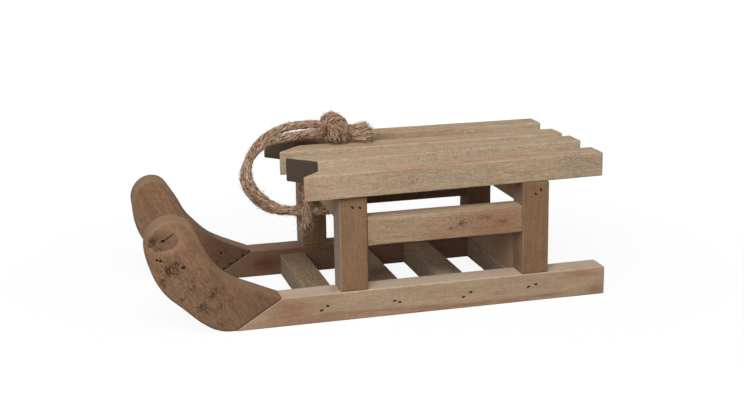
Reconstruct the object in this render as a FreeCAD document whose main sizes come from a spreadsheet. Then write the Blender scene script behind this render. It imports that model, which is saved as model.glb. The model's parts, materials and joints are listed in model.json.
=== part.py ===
import FreeCAD, Part
import math
import os

import Sketcher

# Decorative wooden sledge of square sawn battens with a jute pull rope.
# Frame in millimetres: +X towards the upcurved noses, +Y the sledge's left,
# +Z up, origin on the ground under the middle of the woodwork.

doc = FreeCAD.newDocument("wooden_sledge")
sheet = doc.addObject("Spreadsheet::Sheet", "sizes")

SIZES = {
    # whole sledge
    "sledge_length": 342,
    "runner_track": 145,
    "edge_easing": 0.6,
    # runner bars and their upcurved noses
    "runner_width": 20,
    "runner_height": 21.5,
    "scarf_run": 34.8,
    "nose_reach": 58.7,
    "nose_height": 85,
    "nose_tip_radius": 18,
    "nose_heel_radius": 25,
    "nose_belly_radius": 40,
    "nose_throat_radius": 46,
    "nose_sole_flat": 1.8,
    "nose_belly_setback": 5.7,
    "nose_throat_setback": 48.4,
    "nose_edge_radius": 2,
    # posts, side rails and crossbars
    "post_length": 20.5,
    "post_width": 20,
    "post_height": 70.2,
    "front_post_setback": 136.3,
    "post_spacing": 139.1,
    "right_post_lead": 1.7,
    "rail_height": 20,
    "rail_width": 17,
    "rail_underside": 54.5,
    "right_rail_drop": 2.6,
    "crossbar_length": 20,
    "crossbar_height": 19.5,
    "rear_crossbar_height": 17.3,
    "crossbar_setback": 0.6,
    # slats
    "floor_slat_length": 20,
    "floor_slat_height": 17,
    "floor_slat_lead": 20,
    "floor_slat_spacing": 52.1,
    "seat_slat_length": 228.5,
    "seat_slat_width": 20.5,
    "seat_slat_height": 18,
    "seat_slat_stagger": 1.4,
    "seat_front_overhang": 25.3,
    "seat_side_overhang": 5,
    "seat_end_cut": 19,
    # pull rope, its knot and its tails
    "rope_diameter": 6,
    "knot_radius": 13,
    "knot_face_radius": 9,
    "knot_front_length": 11.5,
    "knot_rear_length": 11.5,
    "knot_setback": 46.5,
    "knot_side": -30.5,
    "rope_seat_gap": 0.3,
    "tail_length": 22,
    "tail_neck_radius": 6.5,
    "tail_end_radius": 8,
}

for row, (name, number) in enumerate(SIZES.items(), start=1):
    sheet.set("A%d" % row, name)
    sheet.set("B%d" % row, str(number))
    sheet.setAlias("B%d" % row, name)
doc.recompute()

# Place of each seat slat's middle line at its front and rear end, as shares of
# the outermost place that the seat's width allows, from the sledge's left to
# its right. The slats were fixed by eye, so they close in a little rearwards.
SLAT_FRONT_SHARES = (1, 0.3, -0.312, -1)
SLAT_REAR_SHARES = (0.885, 0.2, -0.256, -0.955)
# How far each slat's front end stands forward and its rear end back, as shares
# of the stagger.
SLAT_LEAD_SHARES = (1, -1, 0, 0.5)
SLAT_TRAIL_SHARES = (0, 1.6, 0, 0.4)
# The end cut leaves the left corner forward where True, else the right one.
LEFT_CORNER_FORWARD = (True, False, True, False)

# Distance of each floor slat from the first one, as a share of their spacing.
FLOOR_PLACE_SHARES = (0, 1, 1.99, 3.052)

# Heights of the corners that a nose's belly and throat round, as shares of
# the nose's height.
BELLY_HEIGHT_SHARE = 0.406
THROAT_HEIGHT_SHARE = 0.485

# Route of the pull rope, in millimetres. One rope is hitched at its middle to
# the front crossbar: the bight hangs in front of the bar and both halves come
# back under the bar and out through it. Then they rise over the seat's front
# end to the knot. The hitch is split where the rope leaves the bight.
HITCH_HALF_ROUTE = [
    (50.0, 3.6, 65.5),
    (2.0, 3.9, 62.0),
    (-1.0, 4.0, 95.7),
    (44.0, 4.2, 95.7),
    (44.8, 8.9, 73.5),
    (45.0, 12.2, 61.5),
    (45.0, 6.4, 51.5),
]
LEFT_STRAND_ROUTE = [
    (50.0, 3.6, 65.5),
    (62.0, 3.5, 66.4),
    (74.5, 2.2, 71.0),
    (83.5, -0.8, 80.0),
    (87.0, -5.5, 91.0),
    (84.5, -11.5, 102.5),
    (78.0, -17.4, 112.0),
    (67.3, -22.4, 117.0),
    (54.0, -25.8, 117.9),
    (39.0, -27.0, 119.6),
    (25.0, -27.0, 119.6),
]
RIGHT_STRAND_ROUTE = [
    (50.0, -3.6, 65.5),
    (62.0, -3.7, 66.4),
    (74.5, -5.2, 71.5),
    (84.0, -8.8, 80.5),
    (87.8, -14.2, 92.0),
    (85.2, -20.5, 104.5),
    (77.8, -27.0, 113.8),
    (67.0, -32.0, 119.6),
    (54.0, -35.0, 122.6),
    (39.0, -35.5, 124.2),
    (25.0, -35.5, 124.2),
]
ARC_SHARE = 0.45

# An edge runs along an axis when this share of its length does, and two
# lengths are the same within the tolerance.
ALONG_SHARE = 0.9
TOLERANCE = 1e-6


def value(expression):
    """Number that an expression of named sizes gives."""
    return float(sheet.evalExpression(expression))


def new_body(label):
    body = doc.addObject("PartDesign::Body", label)
    body.Label = label
    return body


def new_sketch(body, role):
    """Empty sketch on one of the body's own origin planes."""
    sketch = body.newObject("Sketcher::SketchObject", body.Name + "_sketch")
    plane = [item for item in body.Origin.OriginFeatures if item.Role == role][0]
    sketch.AttachmentSupport = [(plane, "")]
    sketch.MapMode = "FlatFace"
    return sketch


def bind(sketch, constraint, expression):
    """Adds a constraint and ties its value to named sizes."""
    index = sketch.addConstraint(constraint)
    sketch.setExpression("Constraints[%d]" % index, expression)


def place_point(sketch, line, end, across, up):
    """Fixes one end of a line at a place given by two expressions."""
    for kind, axis, expression in (("DistanceX", -2, across), ("DistanceY", -1, up)):
        if expression == "0":
            sketch.addConstraint(Sketcher.Constraint("PointOnObject", line, end, axis))
        else:
            fixed = Sketcher.Constraint(kind, -1, 1, line, end, value(expression))
            bind(sketch, fixed, expression)


def draw_polygon(sketch, corners):
    """Closed outline of straight lines through corners given as expressions."""
    points = [FreeCAD.Vector(value(across), value(up), 0) for across, up in corners]
    count = len(points)
    for i in range(count):
        sketch.addGeometry(Part.LineSegment(points[i], points[(i + 1) % count]), False)
    for i in range(count):
        sketch.addConstraint(Sketcher.Constraint("Coincident", i, 2, (i + 1) % count, 1))
    for i, (across, up) in enumerate(corners):
        place_point(sketch, i, 1, across, up)


def pad(body, sketch, length, middle=False):
    """Extrudes a sketch by a length given as an expression."""
    feature = body.newObject("PartDesign::Pad", body.Name + "_pad")
    feature.Profile = sketch
    feature.Midplane = middle
    feature.setExpression("Length", length)
    doc.recompute()
    return feature


def dress(body, kind, base, edges, size):
    """Eases the named edges of a feature with a Chamfer or a Fillet."""
    feature = body.newObject("PartDesign::" + kind, body.Name + "_" + kind.lower())
    feature.Base = (base, edges)
    feature.setExpression("Size" if kind == "Chamfer" else "Radius", size)
    body.Tip = feature
    doc.recompute()
    return feature


def edges_along(feature, axis):
    """Names of the straight edges that run mostly along an axis."""
    names = []
    for number, edge in enumerate(feature.Shape.Edges, start=1):
        run = edge.lastVertex().Point - edge.firstVertex().Point
        if abs(run.dot(axis)) > ALONG_SHARE * run.Length:
            names.append("Edge%d" % number)
    return names


def move_to(body, x, y, z):
    for axis, expression in zip("xyz", (x, y, z)):
        body.setExpression("Placement.Base." + axis, expression)


AXES = {
    "x": ("YZ_Plane", FreeCAD.Vector(1, 0, 0)),
    "y": ("XZ_Plane", FreeCAD.Vector(0, 1, 0)),
    "z": ("XY_Plane", FreeCAD.Vector(0, 0, 1)),
}


def batten(label, axis, length, breadth, height, corner):
    """Straight batten along one axis with its four long edges eased.

    Its section is drawn from the corner; a batten along y is centred on it.
    """
    role, direction = AXES[axis]
    body = new_body(label)
    sketch = new_sketch(body, role)
    draw_polygon(sketch, [("0", "0"), (breadth, "0"), (breadth, height), ("0", height)])
    solid = pad(body, sketch, length, middle=(axis == "y"))
    dress(body, "Chamfer", solid, edges_along(solid, direction), "sizes.edge_easing")
    move_to(body, *corner)
    return body


REAR_END = "-sizes.sledge_length / 2"
SEAM_BOTTOM = "sizes.sledge_length / 2 - sizes.nose_reach"
SEAM_TOP = SEAM_BOTTOM + " - sizes.scarf_run"
TIP_X = "sizes.sledge_length / 2 - sizes.nose_tip_radius"
TIP_Z = "sizes.nose_height - sizes.nose_tip_radius"
BELLY_X = "sizes.sledge_length / 2 - sizes.nose_belly_setback"
BELLY_Z = "%g * sizes.nose_height" % BELLY_HEIGHT_SHARE
THROAT_X = "sizes.sledge_length / 2 - sizes.nose_throat_setback"
THROAT_Z = "%g * sizes.nose_height" % THROAT_HEIGHT_SHARE
SIDES = ("left", "right")


def outer_strip(side, width):
    """Lower y of a strip of some width against the runners' outer face."""
    if side == "left":
        return "sizes.runner_track / 2 - " + width
    return "-sizes.runner_track / 2"


def runner_bar(side):
    """Straight runner bar, its front end cut to the scarf joint's slope."""
    body = new_body("runner_bar_" + side)
    sketch = new_sketch(body, "XZ_Plane")
    draw_polygon(sketch, [
        (REAR_END, "0"),
        (SEAM_BOTTOM, "0"),
        (SEAM_TOP, "sizes.runner_height"),
        (REAR_END, "sizes.runner_height"),
    ])
    solid = pad(body, sketch, "sizes.runner_width", middle=True)
    long_edges = edges_along(solid, FreeCAD.Vector(1, 0, 0))
    dress(body, "Chamfer", solid, long_edges, "sizes.edge_easing")
    move_to(body, "0", outer_strip(side, "sizes.runner_width") + " + sizes.runner_width / 2", "0")
    return body


def spot(across, up):
    """Point of a sketch at a place given by two expressions."""
    return FreeCAD.Vector(value(across), value(up), 0)


def touch(corner, centre, radius, side):
    """Where a line from a corner touches a circle, on its left for side 1."""
    gap = centre - corner
    lean = side * math.degrees(math.asin(radius / gap.Length))
    along = FreeCAD.Rotation(FreeCAD.Vector(0, 0, 1), lean).multVec(gap).normalize()
    return corner + along * math.sqrt(gap.Length ** 2 - radius ** 2)


def corner_arc(corner, into, out, radius):
    """Tangent points and centre of an arc that rounds a corner."""
    half = into.getAngle(out) / 2
    back = radius * math.tan(half)
    start = corner - into * back
    end = corner + out * back
    centre = corner + (out - into).normalize() * (radius / math.cos(half))
    return start, end, centre


def arc_through(start, end, centre):
    """Arc from start to end on the side of the centre that faces the chord."""
    middle = (start + end) * 0.5 - centre
    radius = (start - centre).Length
    return Part.Arc(start, centre + middle.normalize() * radius, end)


def nose_profile(sketch):
    """Closed outline of an upcurved nose: six lines and four tangent arcs.

    It runs from the scarf joint's foot along the sole, up the heel, the
    belly and the front, round the tip and down the back, throat and ramp.
    The lines beside the belly and the throat meet in two named corners.
    """
    foot = spot(SEAM_BOTTOM, "0")
    top = spot(SEAM_TOP, "sizes.runner_height")
    belly = spot(BELLY_X, BELLY_Z)
    throat = spot(THROAT_X, THROAT_Z)
    tip = spot(TIP_X, TIP_Z)
    heel_start = spot(SEAM_BOTTOM + " + sizes.nose_sole_flat", "0")
    heel_centre = spot(SEAM_BOTTOM + " + sizes.nose_sole_flat", "sizes.nose_heel_radius")
    heel_end = touch(belly, heel_centre, value("sizes.nose_heel_radius"), 1)
    tip_radius = value("sizes.nose_tip_radius")
    tip_start = touch(belly, tip, tip_radius, -1)
    tip_end = touch(throat, tip, tip_radius, 1)

    slope_way = (belly - heel_end).normalize()
    front_way = (tip_start - belly).normalize()
    back_way = (throat - tip_end).normalize()
    ramp_way = (top - throat).normalize()
    belly_start, belly_end, belly_centre = corner_arc(
        belly, slope_way, front_way, value("sizes.nose_belly_radius"))
    throat_start, throat_end, throat_centre = corner_arc(
        throat, back_way, ramp_way, value("sizes.nose_throat_radius"))
    tip_middle = tip + (front_way - back_way).normalize() * tip_radius

    pieces = [
        Part.LineSegment(top, foot),
        Part.LineSegment(foot, heel_start),
        arc_through(heel_start, heel_end, heel_centre),
        Part.LineSegment(heel_end, belly_start),
        arc_through(belly_start, belly_end, belly_centre),
        Part.LineSegment(belly_end, tip_start),
        Part.Arc(tip_start, tip_middle, tip_end),
        Part.LineSegment(tip_end, throat_start),
        arc_through(throat_end, throat_start, throat_centre),
        Part.LineSegment(throat_end, top),
    ]
    seam, sole, heel, slope, bend, face, crown, nape, dip, deck = range(len(pieces))
    for piece in pieces:
        sketch.addGeometry(piece, False)

    # An arc in a sketch runs counterclockwise, so the hollow throat is drawn
    # from its lower end.
    ends = [(1, 2)] * len(pieces)
    ends[dip] = (2, 1)
    for geometry in range(len(pieces)):
        follower = (geometry + 1) % len(pieces)
        kind = "Coincident" if seam in (geometry, follower) else "Tangent"
        sketch.addConstraint(Sketcher.Constraint(
            kind, geometry, ends[geometry][1], follower, ends[follower][0]))

    place_point(sketch, seam, 1, SEAM_TOP, "sizes.runner_height")
    place_point(sketch, seam, 2, SEAM_BOTTOM, "0")
    sketch.addConstraint(Sketcher.Constraint("Horizontal", sole))
    place_point(sketch, crown, 3, TIP_X, TIP_Z)
    for arc, name in ((heel, "heel"), (bend, "belly"), (crown, "tip"), (dip, "throat")):
        size = "sizes.nose_%s_radius" % name
        bind(sketch, Sketcher.Constraint("Radius", arc, value(size)), size)
    flat_size = "sizes.nose_sole_flat"
    bind(sketch, Sketcher.Constraint("Distance", sole, value(flat_size)), flat_size)
    for corner, across, up, lines in (
            (belly, BELLY_X, BELLY_Z, (slope, face)),
            (throat, THROAT_X, THROAT_Z, (nape, deck))):
        mark = sketch.addGeometry(Part.Point(corner), True)
        place_point(sketch, mark, 1, across, up)
        for line in lines:
            sketch.addConstraint(Sketcher.Constraint("PointOnObject", mark, 1, line))


def runner_nose(side):
    """Upcurved nose, as thick as the bar, its sawn outline well rounded."""
    body = new_body("runner_nose_" + side)
    sketch = new_sketch(body, "XZ_Plane")
    nose_profile(sketch)
    solid = pad(body, sketch, "sizes.runner_width", middle=True)
    joint = FreeCAD.Vector(value("sizes.scarf_run"), 0, -value("sizes.runner_height"))
    rims = []
    for number, edge in enumerate(solid.Shape.Edges, start=1):
        run = edge.lastVertex().Point - edge.firstVertex().Point
        from_side_to_side = abs(run.y) > TOLERANCE
        on_the_joint = run.cross(joint).Length < TOLERANCE * joint.Length
        if not from_side_to_side and not on_the_joint:
            rims.append("Edge%d" % number)
    dress(body, "Fillet", solid, rims, "sizes.nose_edge_radius")
    move_to(body, "0", outer_strip(side, "sizes.runner_width") + " + sizes.runner_width / 2", "0")
    return body


FRONT_POST = "sizes.sledge_length / 2 - sizes.front_post_setback - sizes.post_length"
POSTS = {"front": FRONT_POST, "rear": FRONT_POST + " - sizes.post_spacing"}
SEAT_UNDERSIDE = "sizes.runner_height + sizes.post_height"
SEAT_TOP = SEAT_UNDERSIDE + " + sizes.seat_slat_height"
SEAT_FRONT = FRONT_POST + " + sizes.post_length + sizes.seat_front_overhang"
OUTER_SLAT = "sizes.runner_track / 2 + sizes.seat_side_overhang - sizes.seat_slat_width / 2"
KNOT_MIDDLE = SEAT_FRONT + " - sizes.knot_setback"


def post(end, side):
    """Upright standing on a runner bar, flush with the bar's outer face."""
    rear_face = POSTS[end]
    if (end, side) == ("front", "right"):
        rear_face += " + sizes.right_post_lead"
    corner = (rear_face, outer_strip(side, "sizes.post_width"), "sizes.runner_height")
    return batten("post_%s_%s" % (end, side), "z", "sizes.post_height",
                  "sizes.post_length", "sizes.post_width", corner)


def side_rail(side):
    """Rail between a side's two posts, flush with their outer faces."""
    underside = "sizes.rail_underside"
    length = "sizes.post_spacing - sizes.post_length"
    if side == "right":
        underside += " - sizes.right_rail_drop"
        length += " + sizes.right_post_lead"
    corner = (POSTS["rear"] + " + sizes.post_length",
              outer_strip(side, "sizes.rail_width"), underside)
    return batten("side_rail_" + side, "x", length,
                  "sizes.rail_width", "sizes.rail_height", corner)


def crossbar(end):
    """Bar under the seat between the left and right posts of one end."""
    height = "sizes.crossbar_height" if end == "front" else "sizes.rear_crossbar_height"
    corner = (POSTS[end] + " + sizes.post_length - sizes.crossbar_setback - sizes.crossbar_length",
              "0", SEAT_UNDERSIDE + " - " + height)
    return batten("crossbar_" + end, "y", "sizes.runner_track - 2 * sizes.post_width",
                  "sizes.crossbar_length", height, corner)


def floor_slat(number):
    """Cross slat between the runner bars, flush with their soles."""
    places = "%g * sizes.floor_slat_spacing" % FLOOR_PLACE_SHARES[number - 1]
    first = FRONT_POST + " + sizes.post_length + sizes.floor_slat_lead"
    corner = (first + " - sizes.floor_slat_length - " + places, "0", "0")
    return batten("floor_slat_%d" % number, "y", "sizes.runner_track - 2 * sizes.runner_width",
                  "sizes.floor_slat_length", "sizes.floor_slat_height", corner)


def seat_slat(number):
    """Lengthwise seat slat: square rear end, front end cut on the slant."""
    front = "%g * (%s)" % (SLAT_FRONT_SHARES[number - 1], OUTER_SLAT)
    rear = "%g * (%s)" % (SLAT_REAR_SHARES[number - 1], OUTER_SLAT)
    half = " sizes.seat_slat_width / 2"
    left_cut, right_cut = "", " - sizes.seat_end_cut"
    if not LEFT_CORNER_FORWARD[number - 1]:
        left_cut, right_cut = right_cut, left_cut
    front_x = SEAT_FRONT + " + %g * sizes.seat_slat_stagger" % SLAT_LEAD_SHARES[number - 1]
    rear_x = SEAT_FRONT + " - sizes.seat_slat_length - %g * sizes.seat_slat_stagger" % (
        SLAT_TRAIL_SHARES[number - 1])
    body = new_body("seat_slat_%d" % number)
    sketch = new_sketch(body, "XY_Plane")
    draw_polygon(sketch, [
        (rear_x, rear + " -" + half),
        (front_x + right_cut, front + " -" + half),
        (front_x + left_cut, front + " +" + half),
        (rear_x, rear + " +" + half),
    ])
    solid = pad(body, sketch, "sizes.seat_slat_height")
    long_edges = edges_along(solid, FreeCAD.Vector(1, 0, 0))
    dress(body, "Chamfer", solid, long_edges, "sizes.edge_easing")
    move_to(body, "0", "0", SEAT_UNDERSIDE)
    return body


def rope_path(points):
    """Wire of straight runs joined by tangent arcs, and its smallest radius."""
    points = [FreeCAD.Vector(*point) for point in points]
    edges = []
    radii = []
    begin = points[0]
    for before, corner, after in zip(points, points[1:], points[2:]):
        into = (corner - before).normalize()
        out = (after - corner).normalize()
        shorter = min((corner - before).Length, (after - corner).Length)
        half = into.getAngle(out) / 2
        radius = ARC_SHARE * shorter / math.tan(half)
        start, end, centre = corner_arc(corner, into, out, radius)
        edges.append(Part.LineSegment(begin, start).toShape())
        edges.append(arc_through(start, end, centre).toShape())
        radii.append(radius)
        begin = end
    edges.append(Part.LineSegment(begin, points[-1]).toShape())
    return Part.Wire(edges), radii


def rope(label, points):
    """Plain round tube along a rope's route."""
    wire, radii = rope_path(points)
    radius = value("sizes.rope_diameter") / 2
    start = wire.Edges[0]
    section = Part.Wire(Part.makeCircle(radius, start.firstVertex().Point, start.tangentAt(0)))
    tube = wire.makePipeShell([section], True, False)
    body = doc.addObject("Part::Feature", label)
    body.Label = label
    body.Shape = tube
    expected = math.pi * radius ** 2 * wire.Length
    print(label, "length %.1f" % wire.Length, "volume ratio %.4f" % (tube.Volume / expected))
    print("   radii", " ".join("%.1f" % item for item in radii))
    return body


def rope_knot():
    """Plain solid of the overhand knot that joins the rope's two ends."""
    body = new_body("pull_rope_knot")
    sketch = new_sketch(body, "XY_Plane")
    front = FreeCAD.Vector(value("sizes.knot_front_length"), 0, 0)
    rear = FreeCAD.Vector(-value("sizes.knot_rear_length"), 0, 0)
    up = FreeCAD.Vector(0, value("sizes.knot_face_radius"), 0)
    crown = FreeCAD.Vector(0, value("sizes.knot_radius"), 0)
    sketch.addGeometry(Part.LineSegment(rear, front), False)
    sketch.addGeometry(Part.LineSegment(front, front + up), False)
    sketch.addGeometry(Part.Arc(front + up, crown, rear + up), False)
    sketch.addGeometry(Part.LineSegment(rear + up, rear), False)
    for geometry in range(4):
        follower = (geometry + 1) % 4
        sketch.addConstraint(Sketcher.Constraint("Coincident", geometry, 2, follower, 1))
    place_point(sketch, 0, 1, "-sizes.knot_rear_length", "0")
    place_point(sketch, 0, 2, "sizes.knot_front_length", "0")
    place_point(sketch, 1, 2, "sizes.knot_front_length", "sizes.knot_face_radius")
    place_point(sketch, 3, 1, "-sizes.knot_rear_length", "sizes.knot_face_radius")
    bulge = "sizes.knot_radius - sizes.knot_face_radius"
    radius = "((%s)^2 + sizes.knot_front_length^2) / 2 / (%s)" % (bulge, bulge)
    bind(sketch, Sketcher.Constraint("Radius", 2, value(radius)), radius)
    turned = body.newObject("PartDesign::Revolution", body.Name + "_turned")
    turned.Profile = sketch
    turned.ReferenceAxis = (sketch, ["H_Axis"])
    body.Tip = turned
    move_to(body, KNOT_MIDDLE, "sizes.knot_side",
            SEAT_TOP + " + sizes.knot_radius + sizes.rope_seat_gap")
    return body


def rope_tails():
    """Plain cone of the two loose rope ends behind the knot."""
    cone = doc.addObject("Part::Cone", "pull_rope_tails")
    cone.Label = "pull_rope_tails"
    cone.setExpression("Radius1", "sizes.tail_neck_radius")
    cone.setExpression("Radius2", "sizes.tail_end_radius")
    cone.setExpression("Height", "sizes.tail_length")
    cone.Placement = FreeCAD.Placement(
        FreeCAD.Vector(0, 0, 0), FreeCAD.Rotation(FreeCAD.Vector(0, 1, 0), -90))
    move_to(cone, KNOT_MIDDLE + " - sizes.knot_rear_length", "sizes.knot_side",
            SEAT_TOP + " + sizes.tail_end_radius + sizes.rope_seat_gap")
    return cone


parts = []
for side in SIDES:
    parts.append(runner_bar(side))
    parts.append(runner_nose(side))
    parts.append(post("front", side))
    parts.append(post("rear", side))
    parts.append(side_rail(side))
for end in POSTS:
    parts.append(crossbar(end))
for number in range(1, 5):
    parts.append(floor_slat(number))
    parts.append(seat_slat(number))
mirrored = [(x, -y, z) for x, y, z in reversed(HITCH_HALF_ROUTE)]
parts.append(rope("pull_rope_hitch", HITCH_HALF_ROUTE + mirrored))
parts.append(rope("pull_rope_left", LEFT_STRAND_ROUTE))
parts.append(rope("pull_rope_right", RIGHT_STRAND_ROUTE))
parts.append(rope_knot())
parts.append(rope_tails())
doc.recompute()

faults = [item.Name for item in doc.Objects if "Invalid" in item.State or "Error" in item.State]
faults += [part.Label for part in parts if part.Shape.isNull() or not part.Shape.isValid()]
if faults:
    raise RuntimeError("these objects failed: " + ", ".join(faults))

os.makedirs("parts", exist_ok=True)
for part in parts:
    part.Shape.exportStep("parts/%s.step" % part.Label)
print(len(parts), "parts written")
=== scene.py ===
"""Small weathered wooden sledge with a knotted jute pull rope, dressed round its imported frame.

Each operator below makes one kind of piece in its place. Lengths are in metres in the
sledge's own frame: +X towards the upcurved noses, +Y the sledge's left, +Z up. Names that
end in _MM hold millimetres, the unit in which wood grain and rope are described.
"""

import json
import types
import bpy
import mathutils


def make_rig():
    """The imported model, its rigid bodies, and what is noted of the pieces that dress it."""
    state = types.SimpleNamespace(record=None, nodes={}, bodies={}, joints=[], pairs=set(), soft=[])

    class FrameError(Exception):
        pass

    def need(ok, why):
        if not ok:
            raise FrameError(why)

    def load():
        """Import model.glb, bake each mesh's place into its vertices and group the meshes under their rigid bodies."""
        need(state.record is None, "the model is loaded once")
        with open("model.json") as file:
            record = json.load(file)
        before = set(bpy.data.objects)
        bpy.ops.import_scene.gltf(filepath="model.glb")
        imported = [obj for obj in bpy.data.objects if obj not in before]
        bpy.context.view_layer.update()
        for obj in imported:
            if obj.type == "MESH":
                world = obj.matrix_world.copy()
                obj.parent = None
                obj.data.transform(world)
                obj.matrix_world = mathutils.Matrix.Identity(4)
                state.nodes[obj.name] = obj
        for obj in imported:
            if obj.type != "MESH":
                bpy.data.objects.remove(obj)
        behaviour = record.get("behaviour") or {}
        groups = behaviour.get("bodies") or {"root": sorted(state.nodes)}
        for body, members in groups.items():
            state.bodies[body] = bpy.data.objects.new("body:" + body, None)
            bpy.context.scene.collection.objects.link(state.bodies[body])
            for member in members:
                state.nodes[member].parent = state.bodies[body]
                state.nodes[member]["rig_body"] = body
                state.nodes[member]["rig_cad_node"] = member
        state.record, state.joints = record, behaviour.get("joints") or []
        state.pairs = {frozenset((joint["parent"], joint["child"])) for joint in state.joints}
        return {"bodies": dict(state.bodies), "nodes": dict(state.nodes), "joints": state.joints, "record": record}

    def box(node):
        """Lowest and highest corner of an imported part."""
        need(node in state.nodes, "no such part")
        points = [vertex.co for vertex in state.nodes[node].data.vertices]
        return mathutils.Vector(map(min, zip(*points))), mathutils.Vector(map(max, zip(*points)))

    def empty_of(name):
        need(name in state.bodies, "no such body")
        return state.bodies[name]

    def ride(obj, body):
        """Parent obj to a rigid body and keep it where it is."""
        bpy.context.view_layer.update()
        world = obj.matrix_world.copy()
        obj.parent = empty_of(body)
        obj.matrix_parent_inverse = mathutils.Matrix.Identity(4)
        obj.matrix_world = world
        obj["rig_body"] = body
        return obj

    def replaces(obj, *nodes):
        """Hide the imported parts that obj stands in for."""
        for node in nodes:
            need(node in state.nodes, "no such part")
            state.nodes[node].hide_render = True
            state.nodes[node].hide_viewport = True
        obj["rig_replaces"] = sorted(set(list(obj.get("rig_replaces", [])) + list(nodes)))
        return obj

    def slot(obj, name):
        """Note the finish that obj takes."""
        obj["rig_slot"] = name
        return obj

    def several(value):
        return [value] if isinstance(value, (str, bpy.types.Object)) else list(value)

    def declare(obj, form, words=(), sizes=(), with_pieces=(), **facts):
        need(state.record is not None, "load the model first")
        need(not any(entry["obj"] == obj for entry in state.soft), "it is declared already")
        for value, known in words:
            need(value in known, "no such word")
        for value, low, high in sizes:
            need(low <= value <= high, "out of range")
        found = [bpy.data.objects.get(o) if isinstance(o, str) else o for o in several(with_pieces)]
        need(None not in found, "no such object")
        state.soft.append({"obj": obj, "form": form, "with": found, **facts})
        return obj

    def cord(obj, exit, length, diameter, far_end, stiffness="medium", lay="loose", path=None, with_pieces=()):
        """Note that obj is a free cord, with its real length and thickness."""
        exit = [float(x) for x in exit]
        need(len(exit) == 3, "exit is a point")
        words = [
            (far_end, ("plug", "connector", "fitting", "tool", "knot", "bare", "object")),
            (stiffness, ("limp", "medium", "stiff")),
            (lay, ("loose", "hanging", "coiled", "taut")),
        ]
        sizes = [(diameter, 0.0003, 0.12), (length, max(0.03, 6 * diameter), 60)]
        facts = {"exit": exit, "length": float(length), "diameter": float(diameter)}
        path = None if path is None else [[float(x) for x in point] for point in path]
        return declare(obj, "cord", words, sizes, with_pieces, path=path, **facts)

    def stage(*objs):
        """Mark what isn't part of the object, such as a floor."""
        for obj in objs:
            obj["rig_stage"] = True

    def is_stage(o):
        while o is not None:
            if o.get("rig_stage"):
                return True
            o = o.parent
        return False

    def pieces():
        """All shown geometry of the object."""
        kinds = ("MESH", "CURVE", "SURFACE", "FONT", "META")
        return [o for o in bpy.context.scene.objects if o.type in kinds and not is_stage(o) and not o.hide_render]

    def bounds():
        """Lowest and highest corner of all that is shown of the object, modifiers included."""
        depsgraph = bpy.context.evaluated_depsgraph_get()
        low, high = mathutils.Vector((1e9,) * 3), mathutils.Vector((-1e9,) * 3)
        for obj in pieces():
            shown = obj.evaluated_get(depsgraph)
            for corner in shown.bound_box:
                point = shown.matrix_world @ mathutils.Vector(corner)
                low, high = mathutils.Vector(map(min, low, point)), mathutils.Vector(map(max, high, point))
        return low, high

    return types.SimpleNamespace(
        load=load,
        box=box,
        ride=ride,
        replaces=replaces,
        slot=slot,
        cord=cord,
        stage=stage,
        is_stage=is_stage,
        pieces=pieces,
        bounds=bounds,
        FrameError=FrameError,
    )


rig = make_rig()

bl_info = {
    "name": "Wooden Sledge",
    "version": (1, 0, 0),
    "blender": (4, 5, 0),
    "location": "3D View > Sidebar > Sledge",
    "description": "Builds a small sledge of sawn battens with a jute pull rope",
    "category": "Add Mesh",
}

import functools
import json
import math
import random

import bmesh
import bpy
from mathutils import Matrix, Vector, noise

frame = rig.load()
CAD_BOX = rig.bounds()

BODY = "root"
SIDES = ("left", "right")
MM = 0.001
TINY = 1e-7
SAME_PLACE = 1e-6
X_AXIS, Y_AXIS, Z_AXIS = range(3)
FORWARD, LEFT, RIGHT, UP = (1, 0, 0), (0, 1, 0), (0, -1, 0), (0, 0, 1)

# The rope's route, as the CAD tubes follow it.
HITCH_HALF_ROUTE = (
    (0.05, 0.0036, 0.0655), (0.002, 0.0039, 0.062), (-0.001, 0.004, 0.0957),
    (0.044, 0.0042, 0.0957), (0.0448, 0.0089, 0.0735), (0.045, 0.0122, 0.0615),
    (0.045, 0.0064, 0.0515),
)
LEFT_STRAND_ROUTE = (
    (0.05, 0.0036, 0.0655), (0.0617, 0.0035, 0.0678), (0.0728, 0.0022, 0.0736),
    (0.0812, -0.0008, 0.0815), (0.0862, -0.0055, 0.0912), (0.0855, -0.0115, 0.1028),
    (0.0775, -0.0174, 0.1112), (0.0668, -0.0224, 0.1159), (0.054, -0.0258, 0.1174),
    (0.039, -0.027, 0.1187), (0.025, -0.027, 0.1196),
)
RIGHT_STRAND_ROUTE = (
    (0.05, -0.0036, 0.0655), (0.0623, -0.0037, 0.0648), (0.0756, -0.0052, 0.0698),
    (0.0852, -0.0088, 0.0796), (0.0891, -0.0142, 0.092), (0.0825, -0.0205, 0.1034),
    (0.0758, -0.027, 0.1117), (0.0661, -0.032, 0.1184), (0.0541, -0.035, 0.123),
    (0.039, -0.0355, 0.125), (0.025, -0.0355, 0.1244),
)
HITCH_LENGTH = 0.319
LEFT_LENGTH = 0.130
RIGHT_LENGTH = 0.135


def linear(hex_colour):
    """Linear colour of an sRGB hex value."""
    channels = [int(hex_colour[i:i + 2], 16) / 255 for i in (1, 3, 5)]
    return [c / 12.92 if c <= 0.04045 else ((c + 0.055) / 1.055) ** 2.4 for c in channels]


def length_setting(name, description, millimetres, least=0):
    """Property that is a length; it and its least value are given in millimetres."""
    return bpy.props.FloatProperty(name=name, description=description, unit="LENGTH",
                                   default=millimetres * MM, min=least * MM)


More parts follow.
